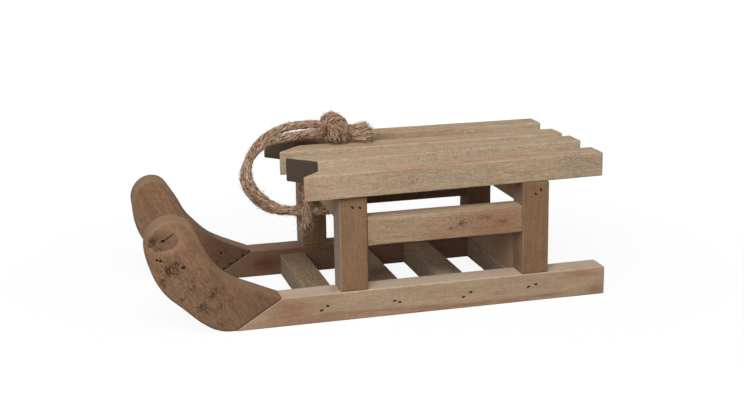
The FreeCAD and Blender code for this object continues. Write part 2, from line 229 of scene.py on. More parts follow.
class SledgeWoodSettings(bpy.types.PropertyGroup):
    """How the sawn battens are worn and how finely they are modelled."""

    edge_radius: length_setting("Edge Radius", "Rounding of a batten's worn edges", 0.9)
    end_radius: length_setting(
        "Tight Edge Radius", "Rounding of a batten that fits between others", 0.6)
    edge_damage: length_setting("Edge Damage", "Depth of the dents along the edges", 0.7)
    surface_wave: length_setting("Surface Wave", "Slow unevenness left by the saw", 0.12)
    fibre_ridge: length_setting(
        "Fibre Ridge", "Height of the raised fibres along the grain", 0.05)
    grain_step: length_setting("Grain Step", "Mesh spacing along the grain", 1.6, 0.4)
    cross_step: length_setting("Cross Step", "Mesh spacing across the grain", 1, 0.3)
    nose_voxel: length_setting("Nose Voxel", "Mesh spacing on the curved noses", 0.7, 0.3)
    ring_spacing: length_setting("Ring Spacing", "Mean distance between growth rings", 3, 0.5)


class SledgeRopeSettings(bpy.types.PropertyGroup):
    """How the three-ply jute rope is laid."""

    diameter: length_setting("Diameter", "Rope diameter over the plies", 6, 1)
    pitch: length_setting("Pitch", "Length in which a ply goes round once", 30, 4)
    knot_diameter: length_setting(
        "Knot Diameter", "Diameter of the rope where the knot squeezes it", 4.8, 1)
    fibre_radius: length_setting(
        "Fibre Radius", "Radius of the loose fibres, coarse enough to show", 0.07, 0.02)


class SledgeStageSettings(bpy.types.PropertyGroup):
    """Light and floor."""

    sky_strength: bpy.props.FloatProperty(
        name="Sky Strength", description="Even light from all round", default=0.22, min=0)
    key_power: bpy.props.FloatProperty(
        name="Key Power", description="Power of the large lamp over the camera",
        default=16.8, min=0, unit="POWER")
    fill_power: bpy.props.FloatProperty(
        name="Fill Power", description="Power of the low lamp beside the camera",
        default=6.8, min=0, unit="POWER")
    floor_colour: bpy.props.FloatVectorProperty(
        name="Floor", description="Colour of the pale floor", subtype="COLOR", size=3,
        default=linear("#74726F"))


def settings(name):
    """Values of one group: "wood", "rope" or "stage"."""
    return getattr(bpy.context.scene, "sledge_" + name)


def placed(name, data):
    """Object for some data, linked to the scene."""
    thing = bpy.data.objects.new(name, data)
    bpy.context.scene.collection.objects.link(thing)
    return thing


def new_piece(name, mesh, material, slot, *nodes):
    """Object for a finished mesh that rides on the sledge and stands for CAD nodes."""
    mesh.materials.clear()
    mesh.materials.append(material)
    mesh.shade_smooth()
    piece = placed(name, mesh)
    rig.ride(piece, BODY)
    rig.slot(piece, slot)
    if nodes:
        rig.replaces(piece, *nodes)
    return piece


def finished(bm, name):
    """Mesh of a bmesh, which is freed."""
    mesh = bpy.data.meshes.new(name)
    bm.to_mesh(mesh)
    bm.free()
    return mesh


def feed(node, inputs):
    """Links or sets a shader node's inputs, given by name or in order."""
    for name, given in inputs.items() if isinstance(inputs, dict) else enumerate(inputs):
        if isinstance(given, bpy.types.NodeSocket):
            node.id_data.links.new(given, node.inputs[name])
        else:
            colour = isinstance(given, str)
            node.inputs[name].default_value = (*linear(given), 1) if colour else given


def add_node(tree, kind, inputs=(), output=0, **options):
    """Adds a shader node with its options and its inputs; gives one output."""
    node = tree.nodes.new("ShaderNode" + kind)
    for name, option in options.items():
        setattr(node, name, option)
    feed(node, inputs)
    return node.outputs[output]


def new_material(name):
    """Empty material, add_node for its tree and its surface shader."""
    material = bpy.data.materials.new(name)
    material.use_nodes = True
    tree = material.node_tree
    return material, functools.partial(add_node, tree), tree.nodes["Principled BSDF"]


# Wood surfaces

SMOOTH = {"interpolation_type": "SMOOTHSTEP"}
COLOURS = {"data_type": "RGBA", "output": 2}
MULTIPLY = {"operation": "MULTIPLY"}
ADD = {"operation": "ADD"}

# What the mesh tells the wood's material, with its value on a plain surface.
PLAIN_WOOD = {"pit": 0, "stain": 0, "knot": 1, "heart": 0, "bleach": 0, "red": 0, "torn": 0}
# Patterns in sawn pine: length along the grain and width across it, in millimetres, and
# octaves of detail. Fibres are really 0.05 mm wide and are drawn as wide as they can show.
PINE_PATTERNS_MM = {
    "ring drift": (120, 18, 2),
    "fibres": (9, 0.6, 3),
    "flecks": (2.4, 0.8, 2),
    "patches": (42, 7, 3),
    "weather": (36, 8, 3),
    "blush": (40, 4, 3),
    "saw": (1.1, 15, 2),
    "torn place": (22, 4, 2),
    "pale": (5, 0.8, 1),
    "blotches": (2.4, 1, 3),
}
# Values between which a pattern comes to show, and how much of it shows at each; a palette
# that names the pattern says how much at most.
PINE_LIMITS = {
    "patches": (0.35, 0.65, 0.25, 1),
    "weather": (0.40, 0.66, 0, 1),
    "blush": (0.52, 0.72, 0, 1),
    "torn place": (0.46, 0.62, 0, 0.5),
    "pale": (0.60, 0.70, 0, 1),
}
# Steps between the patterns in the noise's fourth dimension, so that no two agree, and
# between the pieces of different seed.
PINE_STEP, JUTE_STEP = 3.7, 2.9
SEED_SHIFT_MM = (97, 21, 13)
RING_DRIFT_MM = 14
TORN_TICK_MM = (2.8, 0.75)
TORN_TICK_SLANT = math.radians(62)
KNOT_HALO, KNOT_LIGHT, KNOT_DARK = "#AA8066", "#7D634A", "#604832"
KNOT_RINGS = 15
STAIN_CROWDING = 0.14
PIT_TONE = "#2A1A11"

# The wood's tones, then how strongly each pattern shows.
PALETTE_KEYS = ("light", "dark", "grey", "red", "deep", "bleach", "heart", "end", "end_dark",
                "ring", "weather", "blush", "fibres", "flecks", "torn", "pale")
PALETTES = {
    "seat": ("#BFA588", "#A98B68", "#AB9C81", "#B08466", "#523D2B", "#CDBBA3", "#3C2414",
             "#4B3F32", "#3D3327", 0.35, 0.5, 0.55, 0.18, 0.18, 0.9, 0.6),
    "runners": ("#B69A7D", "#9A795A", "#A3937C", "#A57459", "#5F4630", "#C9B7A2", "#613C28",
                "#7D6650", "#5B4938", 0.3, 0.4, 0.5, 0.12, 0.11, 0.5, 0.35),
    "noses": ("#8F6D52", "#78563D", "#7F644C", "#83563D", "#3F2718", "#A98B75", "#4F3524",
              "#8E7159", "#75593F", 0.45, 0.6, 0.6, 0.2, 0.24, 0.5, 0.15),
    "posts": ("#8C6B4C", "#78573C", "#80664A", "#87593E", "#4E3824", "#A39382", "#4F3524",
              "#6E5A45", "#52412F", 0.4, 0.4, 0.6, 0.14, 0.12, 0.5, 0.05),
    "rails": ("#B19376", "#947353", "#A38F74", "#9D6E50", "#563A27", "#BBA88F", "#432D1F",
              "#6E5A45", "#52412F", 0.4, 0.4, 0.6, 0.17, 0.17, 0.95, 0.4),
    "floor": ("#8D745A", "#6D543B", "#7C6851", "#7B5C43", "#4A3826", "#C6B29A", "#4F3524",
              "#6E5A45", "#52412F", 0.5, 0.4, 0.5, 0.28, 0.26, 0.6, 0.35),
}
PALETTES["crossbars"] = PALETTES["rails"]
# Turns of the coordinates that bring each grain along X.
QUARTER_TURN = math.radians(90)
GRAIN_ALONG_X = (0, 0, 0)
GRAIN_ALONG_Y = (0, 0, -QUARTER_TURN)
GRAIN_ALONG_Z = (0, QUARTER_TURN, 0)
NOSE_GRAIN_RISE = math.radians(62)
GRAIN_ALONG_NOSE = (0, NOSE_GRAIN_RISE, 0)


def sawn_pine(use, grain_turn):
    """Weathered softwood, sawn and left unplaned.

    Growth rings show as soft bands along the grain, fibres as fine streaks, the saw as torn
    specks and faint marks across the grain; the ends have drunk dirt and gone dark. It is
    dull: the roughness stays high everywhere. The coordinates are turned so that the grain
    runs along X, and every piece has a seed of its own.
    """
    palette = dict(zip(PALETTE_KEYS, PALETTES[use]))
    material, add, shader = new_material("sawn pine, " + use)
    turned = add("Mapping", {"Vector": add("TexCoord", output="Object"),
                             "Rotation": grain_turn, "Scale": (1 / MM, 1 / MM, 1 / MM)})
    layer = {key: add("Attribute", output="Fac", attribute_name=key)
             for key in (*PLAIN_WOOD, "seed")}
    shift = add("VectorMath", (layer["seed"], SEED_SHIFT_MM), **MULTIPLY)
    place = add("VectorMath", (turned, shift), **ADD)
    pattern = {}
    for number, (key, (along, across, detail)) in enumerate(PINE_PATTERNS_MM.items()):
        drawn = add("VectorMath", (place, (1 / along, 1 / across, 1 / across)), **MULTIPLY)
        pattern[key] = add("TexNoise", {"Vector": drawn, "W": PINE_STEP * number, "Scale": 1,
                                        "Detail": detail, "Roughness": 0.6},
                           noise_dimensions="4D")
    shown = {key: add("MapRange", (pattern[key], low, high, least, palette.get(key, most)),
                      **SMOOTH) for key, (low, high, least, most) in PINE_LIMITS.items()}

    # growth rings round a pith that lies off the batten
    across_grain = add("VectorMath", (place, (0, 1, 1)), **MULTIPLY)
    from_pith = add("VectorMath", (across_grain,), output="Value", operation="LENGTH")
    drift = add("Math", (pattern["ring drift"], RING_DRIFT_MM), **MULTIPLY)
    ring = add("Math", (add("Math", (from_pith, drift), **ADD),
                        settings("wood").ring_spacing / MM), operation="DIVIDE")
    latewood = add("MapRange", (add("Math", (ring,), operation="FRACT"),
                                0.35, 1, 0, palette["ring"]), **SMOOTH)
    latewood = add("Math", (latewood, shown["patches"]), **MULTIPLY)
    colour = add("Mix", {0: latewood, 6: palette["light"], 7: palette["dark"]}, **COLOURS)
    for key, tone in (("weather", "grey"), ("blush", "red")):
        colour = add("Mix", {0: shown[key], 6: colour, 7: palette[tone]}, **COLOURS)
    shade = add("MapRange", (pattern["saw"], 0.3, 0.7, 0.95, 1.05))
    for key in ("fibres", "flecks"):
        change = add("MapRange", (pattern[key], 0.3, 0.7, 1 - palette[key], 1 + palette[key]))
        shade = add("Math", (shade, change), **MULTIPLY)
    colour = add("VectorMath", {0: colour, "Scale": shade}, operation="SCALE")

    # torn fibres: short dark ticks, slanted to the grain, that come in rows; and pale ticks
    slanted = add("VectorRotate", {"Vector": place, "Axis": (0, 0.6, 0.8),
                                   "Angle": TORN_TICK_SLANT})
    length, width = TORN_TICK_MM
    slanted = add("VectorMath", (slanted, (1 / length, 1 / width, 1 / width)), **MULTIPLY)
    tick = add("TexNoise", {"Vector": slanted, "Scale": 1, "Detail": 1})
    tick = add("MapRange", (tick, 0.55, 0.63, 0, palette["torn"]), **SMOOTH)
    torn_place = add("Math", (shown["torn place"], layer["torn"]), operation="MAXIMUM")
    torn = add("Math", (tick, torn_place), **MULTIPLY)
    coats = [(torn, palette["deep"]), (shown["pale"], palette["bleach"])]

    # bleached and reddish faces, heartwood, stains, knots and holes are laid out on the mesh
    for key in ("bleach", "red", "heart"):
        coats.append((layer[key], add("VectorMath", {0: linear(palette[key]), "Scale": shade},
                                      operation="SCALE")))
    ragged = add("MapRange", (pattern["blotches"], 0.2, 0.8, -0.09, 0.09))
    knot = add("Math", (layer["knot"], ragged), **ADD)
    coats.append((add("MapRange", (knot, 0.45, 0.75, 0.6, 0), **SMOOTH), KNOT_HALO))
    knot_ring = add("Math", (add("Math", (knot, KNOT_RINGS), **MULTIPLY),), operation="SINE")
    knot_ring = add("MapRange", (knot_ring, -1, 1, 0, 0.6))
    knot_colour = add("Mix", {0: knot_ring, 6: KNOT_LIGHT, 7: KNOT_DARK}, **COLOURS)
    coats.append((add("MapRange", (knot, 0.49, 0.38, 0, 0.85), **SMOOTH), knot_colour))
    crowding = add("Math", (layer["stain"], STAIN_CROWDING), **MULTIPLY)
    speck = add("Math", (pattern["blotches"], crowding), **ADD)
    speck = add("MapRange", (speck, 0.52, 0.64), **SMOOTH)
    stain = add("MapRange", (layer["stain"], 0, 0.9, 0, 0.95))
    coats.append((add("Math", (stain, speck), **MULTIPLY), palette["deep"]))

    # ends across the grain are dark and show the rings as arcs
    normal = add("Mapping", {"Vector": add("TexCoord", output="Normal"),
                             "Rotation": grain_turn})
    facing = add("Math", (add("SeparateXYZ", (normal,)),), operation="ABSOLUTE")
    end_colour = add("Mix", {0: latewood, 6: palette["end"], 7: palette["end_dark"]}, **COLOURS)
    coats.append((add("MapRange", (facing, 0.50, 0.62), **SMOOTH), end_colour))
    coats.append((add("MapRange", (layer["pit"], 0.15, 0.6), **SMOOTH), PIT_TONE))
    for share, tone in coats:
        colour = add("Mix", {0: share, 6: colour, 7: tone}, **COLOURS)

    height = add("Math", (pattern["fibres"], torn), operation="SUBTRACT")
    height = add("Math", (height, pattern["saw"]), **ADD)
    feed(shader, {
        "Base Color": colour,
        "Normal": add("Bump", {"Height": height, "Strength": 0.5, "Distance": 0.25 * MM}),
        "Roughness": add("MapRange", (pattern["fibres"], 0.2, 0.8, 0.88, 0.76)),
        "Specular IOR Level": 0.3,
    })
    return material


# Wooden pieces


def corner(node, direction):
    """Vertex of a CAD node that lies furthest along a direction."""
    return max((v.co for v in frame["nodes"][node].data.vertices), key=direction.dot).copy()


ROUNDING_LINES = 3


def crowded(steps, length, radius):
    """Places of a grid's lines along an edge, some of them crowded into each rounding."""
    places = [radius * k / ROUNDING_LINES for k in range(ROUNDING_LINES)]
    inner = steps - 2 * ROUNDING_LINES
    places += [radius + (length - 2 * radius) * k / inner for k in range(inner + 1)]
    return places + [length - place for place in reversed(places[:ROUNDING_LINES])]


def gridded_block(steps):
    """Unit box from the origin, cut into a grid."""
    bm = bmesh.new()
    bmesh.ops.create_cube(bm, size=1)
    bmesh.ops.translate(bm, vec=(0.5, 0.5, 0.5), verts=bm.verts)
    for axis in range(3):
        lines = [e for e in bm.edges if abs(e.verts[0].co[axis] - e.verts[1].co[axis]) > TINY]
        bmesh.ops.subdivide_edges(bm, edges=lines, cuts=steps[axis] - 1, use_grid_fill=True)
    return bm


def stretched_noise(place, seed, size, grain):
    """Noise with features so long along the grain and so wide across it."""
    along, across = size
    scaled = [component / across for component in place]
    scaled[grain] = place[grain] / along
    return noise.noise(Vector(scaled) + Vector((seed * 7.1, seed * 3.3, seed * 5.7)))


# Length and width of the sawn surface's waves and ridges and of the bites in its edges.
WAVE_SIZE = (45 * MM, 14 * MM)
RIDGE_SIZE = (14 * MM, 1.7 * MM)
BITE_SIZE = (9 * MM, 7 * MM)


def relief(place, seed, grain):
    """Height of the sawn surface over its plane."""
    wood = settings("wood")
    wave = stretched_noise(place, seed, WAVE_SIZE, grain)
    ridge = stretched_noise(place, seed + 3, RIDGE_SIZE, grain)
    return wood.surface_wave * wave + wood.fibre_ridge * ridge


def surface_layers(bm, seed):
    """Float layers that the wood's material reads, filled with a plain surface's values."""
    layers = {}
    for name, value in {**PLAIN_WOOD, "seed": seed}.items():
        layers[name] = bm.verts.layers.float.new(name)
        for vert in bm.verts:
            vert[layers[name]] = value
    return layers


def raise_to(vert, layer, value):
    """Raises a layer's value at a vertex, and never lowers it."""
    vert[layer] = max(vert[layer], value)


def oval_ratio(across, up, size, turn):
    """Distance from an oval's middle, where 1 is its rim."""
    cosine, sine = math.cos(turn), math.sin(turn)
    return math.hypot((across * cosine + up * sine) / size[0],
                      (up * cosine - across * sine) / size[1])


MARK_DEPTH = 0.9 * MM
# A mark's outer rim, in its own half sizes, and how far round it the mesh gets finer.
MARK_RIM = 1.5
MARK_MARGINS = (1.2 * MM, 0.8 * MM)


def sink_mark(bm, pit, outward, centre, size, turn):
    """Presses a small oval hole into a left or right face and darkens it.

    centre and size are along X and Z; the mesh gets finer round the hole first.
    """
    reach = max(size) * 1.6 + 0.4 * MM
    near = {v for v in bm.verts
            if abs(v.co.x - centre[0]) < reach + MARK_MARGINS[0]
            and abs(v.co.z - centre[1]) < reach + MARK_MARGINS[1]
            and v.normal.y * outward > 0.7}
    edges = [e for e in bm.edges if near.issuperset(e.verts)]
    bmesh.ops.subdivide_edges(bm, edges=edges, cuts=3, use_grid_fill=True)
    for vert in bm.verts:
        across, up = vert.co.x - centre[0], vert.co.z - centre[1]
        if max(abs(across), abs(up)) > reach or vert.normal.y * outward < 0.3:
            continue
        ratio = oval_ratio(across, up, size, turn)
        if ratio < MARK_RIM:
            share = 1 - (ratio / MARK_RIM) ** 2
            vert.co.y -= outward * MARK_DEPTH * share ** 1.5
            raise_to(vert, pit, share)
    bm.normal_update()


def worn_batten(box, grain, seed, ends_of=None, slant=None, reach_mm=(0, 0), radius=None,
                marks=(), faces=(), patches=()):
    """Batten with dented, rounded edges that fills a box, from its low to its high corner.

    slant is the axis along which the ends of the CAD node ends_of are cut askew, and reach_mm
    is how much further the two front corners go. faces lists attributes that a face has more
    of: a name, the face's direction and how much. patches does the same for soft spots: a
    name, the middle, the half sizes and the strength.
    """
    wood = settings("wood")
    low, high = box
    size = high - low
    radius = radius or wood.edge_radius
    spacing = [wood.grain_step if axis == grain else wood.cross_step for axis in range(3)]
    steps = [round((size[axis] - 2 * radius) / spacing[axis]) + 2 * ROUNDING_LINES
             for axis in range(3)]
    places = [crowded(steps[axis], size[axis], radius) for axis in range(3)]
    bm = gridded_block(steps)
    if slant is not None:
        along, aslant = Vector(), Vector()
        along[grain], aslant[slant] = 0.3, 1
        rear, front = [[corner(ends_of, along * end + aslant * way) for way in (-1, 1)]
                       for end in (-1, 1)]
        for tip, further in zip(front, reach_mm):
            tip[grain] += further * MM

    layers = surface_layers(bm, seed)
    for vert in bm.verts:
        spot = Vector([places[axis][round(vert.co[axis] * steps[axis])] for axis in range(3)])
        core = Vector([min(max(spot[axis], radius), size[axis] - radius) for axis in range(3)])
        outward = (spot - core).normalized()
        for name, direction, amount in faces:
            raise_to(vert, layers[name], amount * max(0.0, outward.dot(Vector(direction))))
        roundness = 1 - max(abs(component) for component in outward)
        bite = stretched_noise(spot + low, seed + 11, BITE_SIZE, grain)
        dent = wood.edge_damage * roundness * 3 * max(0.0, bite + 0.1) ** 1.5
        height = relief(spot + low, seed, grain) * (1 - roundness)
        spot = core + outward * (radius - dent + height)
        vert.co = low + spot
        if slant is not None:
            aside, ahead = spot[slant] / size[slant], spot[grain] / size[grain]
            between = rear[0].lerp(rear[1], aside).lerp(front[0].lerp(front[1], aside), ahead)
            vert.co[grain], vert.co[slant] = between[grain], between[slant]
        for name, middle, half, strength in patches:
            away = sum(((vert.co[k] / MM - middle[k]) / half[k]) ** 2 for k in range(3))
            raise_to(vert, layers[name], strength * math.exp(-away))
    bm.normal_update()
    for mark in marks:
        sink_mark(bm, layers["pit"], *mark)
    bmesh.ops.recalc_face_normals(bm, faces=bm.faces)
    return bm


def place_batten(node, material, slot, grain, seed, **options):
    """Adds a worn batten in the place of a CAD node."""
    mesh = finished(worn_batten(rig.box(node), grain, seed, ends_of=node, **options),
                    node + "_wood")
    return new_piece(node + "_wood", mesh, material, slot, node)


# Staple marks on the left outer faces, as pairs of places along X and Z in millimetres.
RUNNER_STAPLES_MM = (
    ((49.4, 9.2), (44.8, 12.1)), ((-5.4, 11), (-9.2, 9.5)), ((-58.2, 8.5), (-63.9, 11.7)),
    ((-109.7, 11.3), (-115.5, 12.6)),
)
FRONT_POST_STAPLES_MM = (((25, 83.6), (19.5, 83)),)
REAR_POST_STAPLES_MM = (((-114.4, 82.4), (-118.4, 85.2)),)
RUNNER_STAPLE_TURN = math.radians(-12)
POST_STAPLE_TURN = math.radians(48)
RIGHT_STAPLE_SHIFT = 2.5 * MM
# Half sizes of a staple's two holes, in millimetres; the second one is turned further.
STAPLE_HOLES_MM = ((1.3, 0.6), (1.1, 0.7))
SECOND_HOLE_TURN = 0.3
# Soft spots of other tone, as seen on the weathered wood: attribute, middle, half sizes in
# millimetres and strength. A low streak of heartwood runs along the left runner.
RUNNER_PATCHES_MM = {
    "left": (
        ("heart", (72, 72.5, 7.2), (20, 4, 0.9), 0.55),
        ("heart", (42, 72.5, 6.2), (20, 4, 0.9), 0.5),
        ("heart", (8, 72.5, 5.2), (22, 4, 0.9), 0.45),
        ("heart", (-28, 72.5, 4), (22, 4, 0.9), 0.45),
        ("heart", (-66, 72.5, 2.8), (24, 4, 0.9), 0.4),
        ("heart", (-126, 72.5, 3.4), (16, 4, 1.1), 0.55),
        ("heart", (-163, 72.5, 4), (10, 4, 4), 0.45),
        ("heart", (38, 64, 21.5), (5, 9, 2), 0.35),
        ("heart", (68, 72.5, 12), (30, 4, 14), 0.22),
        ("red", (50, 72.5, 2.6), (50, 4, 3.4), 0.75),
        ("red", (-40, 72.5, 1.6), (50, 4, 2.6), 0.75),
        ("red", (-96, 72.5, 2), (16, 4, 2.2), 0.9), ("red", (72, 72.5, 13), (13, 5, 6), 0.75),
        ("red", (-152, 72.5, 18), (14, 5, 3), 0.7),
    ),
    "right": (("heart", (66, -52.5, 10), (32, 4, 16), 1),),
}
RAIL_PATCHES_MM = {
    "left": (
        ("red", (-86, 72.5, 62), (34, 4, 16), 0.72),
        ("red", (-38, 72.5, 57), (9, 4, 4), 0.55), ("torn", (-58, 72.5, 67), (17, 4, 3.5), 1),
        ("torn", (-78, 72.5, 62), (18, 4, 5), 1),
        ("stain", (-57, 72.5, 65.4), (4.6, 3, 3.4), 0.95),
        ("stain", (-50, 72.5, 62), (5, 3, 2.2), 0.7),
        ("stain", (-74, 72.5, 68), (6, 3, 2.4), 0.7),
        ("stain", (-88, 72.5, 64), (6, 3, 3), 0.6), ("stain", (14, 72.5, 57), (5, 3, 3), 0.6),
        ("bleach", (-20, 72.5, 73.5), (34, 3, 1.6), 0.7),
        ("bleach", (-70, 66, 74.5), (30, 9, 1.6), 0.6),
    ),
    "right": (),
}
SEAT_PATCHES_MM = {
    1: (
        ("red", (-14, 74.4, 109), (22, 2.6, 2.4), 0.75),
        ("red", (-46, 71.4, 109.7), (22, 3, 2.4), 0.85),
        ("red", (-76, 66.8, 109.7), (22, 3, 2.4), 0.9),
        ("red", (-106, 60.2, 109.7), (20, 3.4, 2.4), 0.9),
        ("red", (59, 76, 100), (8, 6, 8), 0.45), ("red", (-146, 54, 109.7), (16, 3, 2), 0.8),
        ("torn", (-64, 58, 109.7), (50, 8, 2), 1), ("torn", (-148, 69, 107), (20, 5, 5), 1),
        ("torn", (-20, 74, 101), (30, 4, 5), 0.7),
    ),
    2: (("torn", (-60, 24, 108), (60, 9, 5), 1),),
    3: (
        ("red", (-40, -12, 109.7), (50, 4, 3), 0.5),
        ("heart", (52, -9.5, 99), (14, 4, 14), 0.27),
    ),
    4: (
        ("heart", (34, -56.6, 105), (26, 4, 9), 1), ("heart", (0, -54.6, 106), (26, 4, 9), 1),
        ("red", (-60, -54, 106), (50, 5, 7), 0.7),
    ),
}
POST_PATCHES_MM = {
    "rear": (
        ("heart", (-104.4, 60, 28), (3, 9, 16), 0.45),
        ("heart", (-104.4, 64, 88), (3, 9, 9), 0.5),
    ),
    "front": (("bleach", (24, 72.5, 60), (5, 3, 40), 0.1),),
}
FLOOR_PATCHES_MM = {
    3: (("bleach", (-49, 38, 8), (12, 26, 14), 0.9),),
    4: (
        ("bleach", (-106, 24, 14), (16, 44, 16), 0.85),
        ("red", (-106, 0, 10), (9, 44, 10), 0.5),
    ),
}
# How much further forward the seat slats' slanted corners reach than the plain part's, in
# millimetres: the right corner of each end and the left one.
SEAT_CORNERS_MM = {1: (0, 0), 2: (1.7, 0), 3: (0, 0.9), 4: (0, 0)}


def staple_holes(pairs, side, turn):
    """Marks of staples driven below the surface: two torn oval holes for each."""
    outward, shift = (1, 0) if side == "left" else (-1, RIGHT_STAPLE_SHIFT)
    return [(outward, (x * MM + shift, z * MM), [half * MM for half in STAPLE_HOLES_MM[number]],
             turn + SECOND_HOLE_TURN * number)
            for pair in pairs for number, (x, z) in enumerate(pair)]


class SLEDGE_OT_runner_bars(bpy.types.Operator):
    """Adds the two straight runner bars; the right one is mostly dark heartwood."""

    bl_idname = "sledge.runner_bars"
    bl_label = "Runner Bars"

    def execute(self, context):
        material = sawn_pine("runners", GRAIN_ALONG_X)
        faces = {"left": (("bleach", UP, 0.7),),
                 "right": (("heart", LEFT, 0.8), ("heart", UP, 0.5), ("heart", RIGHT, 0.2))}
        for side, seed in zip(SIDES, (2.1, 5.4)):
            place_batten("runner_bar_" + side, material, "runner_wood", X_AXIS, seed,
                         slant=Z_AXIS, faces=faces[side], patches=RUNNER_PATCHES_MM[side],
                         marks=staple_holes(RUNNER_STAPLES_MM, side, RUNNER_STAPLE_TURN))
        return {"FINISHED"}


# Round knot of a branch on each nose's outer face: centre and half sizes along X and Z.
NOSE_KNOT_MM = ((159.8, 72.2), (10.8, 8))
NOSE_KNOT_TILT = math.radians(12)
# Worm holes, a crack in the knot and chips at the seam, all on the left faces: centre, half
# sizes and turn.
NOSE_MARKS_MM = {
    "left": (
        ((164.6, 57.6), (0.9, 0.7), 0), ((162.2, 56.8), (1, 0.8), 0),
        ((146.6, 50.6), (1.2, 1), 0), ((159.8, 71), (1.3, 0.9), 0.2),
        ((155.6, 73.4), (4.4, 0.35), 2.6), ((166.4, 81.4), (2.6, 0.5), -0.9),
    ),
    "right": (
        ((102.4, 21.8), (1, 0.8), 0), ((95, 12.2), (1.6, 0.9), 0.5),
        ((100.2, 8.6), (1.2, 0.8), 0.5), ((84.4, 18.4), (1.5, 0.8), 0.5),
        ((105.9, 15.1), (0.8, 0.6), 0), ((89.6, 15.4), (1.2, 0.5), 0.55),
    ),
}
# Dark patches on the nose: centre, half sizes, turn and strength.
NOSE_STAINS_MM = (
    ((155.4, 49.5), (8, 6.5), 0.5, 1), ((161.4, 41.5), (4, 5), 0, 0.85),
    ((150.4, 54), (4, 3), 0.5, 1), ((140.6, 42.5), (3.2, 6.5), 0.35, 0.7),
    ((141.6, 35.5), (3, 5.5), 0.35, 0.75), ((148.6, 28), (2.6, 2.6), 0, 0.75),
    ((127, 30), (4.6, 7.5), 0.45, 0.8), ((120.6, 34), (5, 4), 0.4, 0.65),
    ((134.6, 21.5), (7.2, 5), 0.5, 0.8), ((131, 17), (5, 5), 0.4, 0.65),
    ((123, 20), (4, 6.5), 0.5, 0.7), ((121, 8), (6, 5), 0.5, 0.65),
    ((141, 58), (3.4, 5), 0.3, 0.4), ((114.4, 26), (3.6, 5), 0.4, 0.5),
    ((166.8, 71), (4, 7), 0.3, 1), ((163.4, 65.6), (5, 2.6), 0.6, 0.9),
    ((136, 32), (30, 22), 0.5, 0.34),
)
# The noses were sawn by eye, so each outline swells and shrinks in places of its own: the
# middle of the place along X and Z, its reach and how far it moves along X and Z.
NOSE_SWELLS_MM = {
    "left": (((171, 57), 13, (1.9, 0)), ((137, 9), 13, (0.8, -1.3))),
    "right": (
        ((166, 80), 22, (-1.7, 1.7)), ((137, 78), 9, (2.4, 0.2)), ((171, 63), 8, (-0.8, 0)),
        ((160, 36), 13, (-1.8, 0)), ((119, 47), 14, (0, 2.9)),
    ),
}
NOSE_SMOOTHINGS = 3
SCARF_LINE_MM = ((77.5, 21.5), (112.3, 0))
# Heartwood at each nose's low end: where it fades out along X, over what length, how much.
NOSE_HEART_MM = {"left": (135, 50, 0.4), "right": (140, 35, 0.8)}


def voxel_copy(node, voxel):
    """Evenly gridded copy of a CAD node's closed shape."""
    bm = bmesh.new()
    bm.from_mesh(frame["nodes"][node].data)
    bmesh.ops.remove_doubles(bm, verts=bm.verts, dist=SAME_PLACE)
    holder = placed("holder", finished(bm, "holder"))
    remesh = holder.modifiers.new("grid", "REMESH")
    remesh.mode = "VOXEL"
    remesh.voxel_size = voxel
    depsgraph = bpy.context.evaluated_depsgraph_get()
    mesh = bpy.data.meshes.new_from_object(holder.evaluated_get(depsgraph))
    bpy.data.objects.remove(holder)
    bm = bmesh.new()
    bm.from_mesh(mesh)
    bpy.data.meshes.remove(mesh)
    return bm


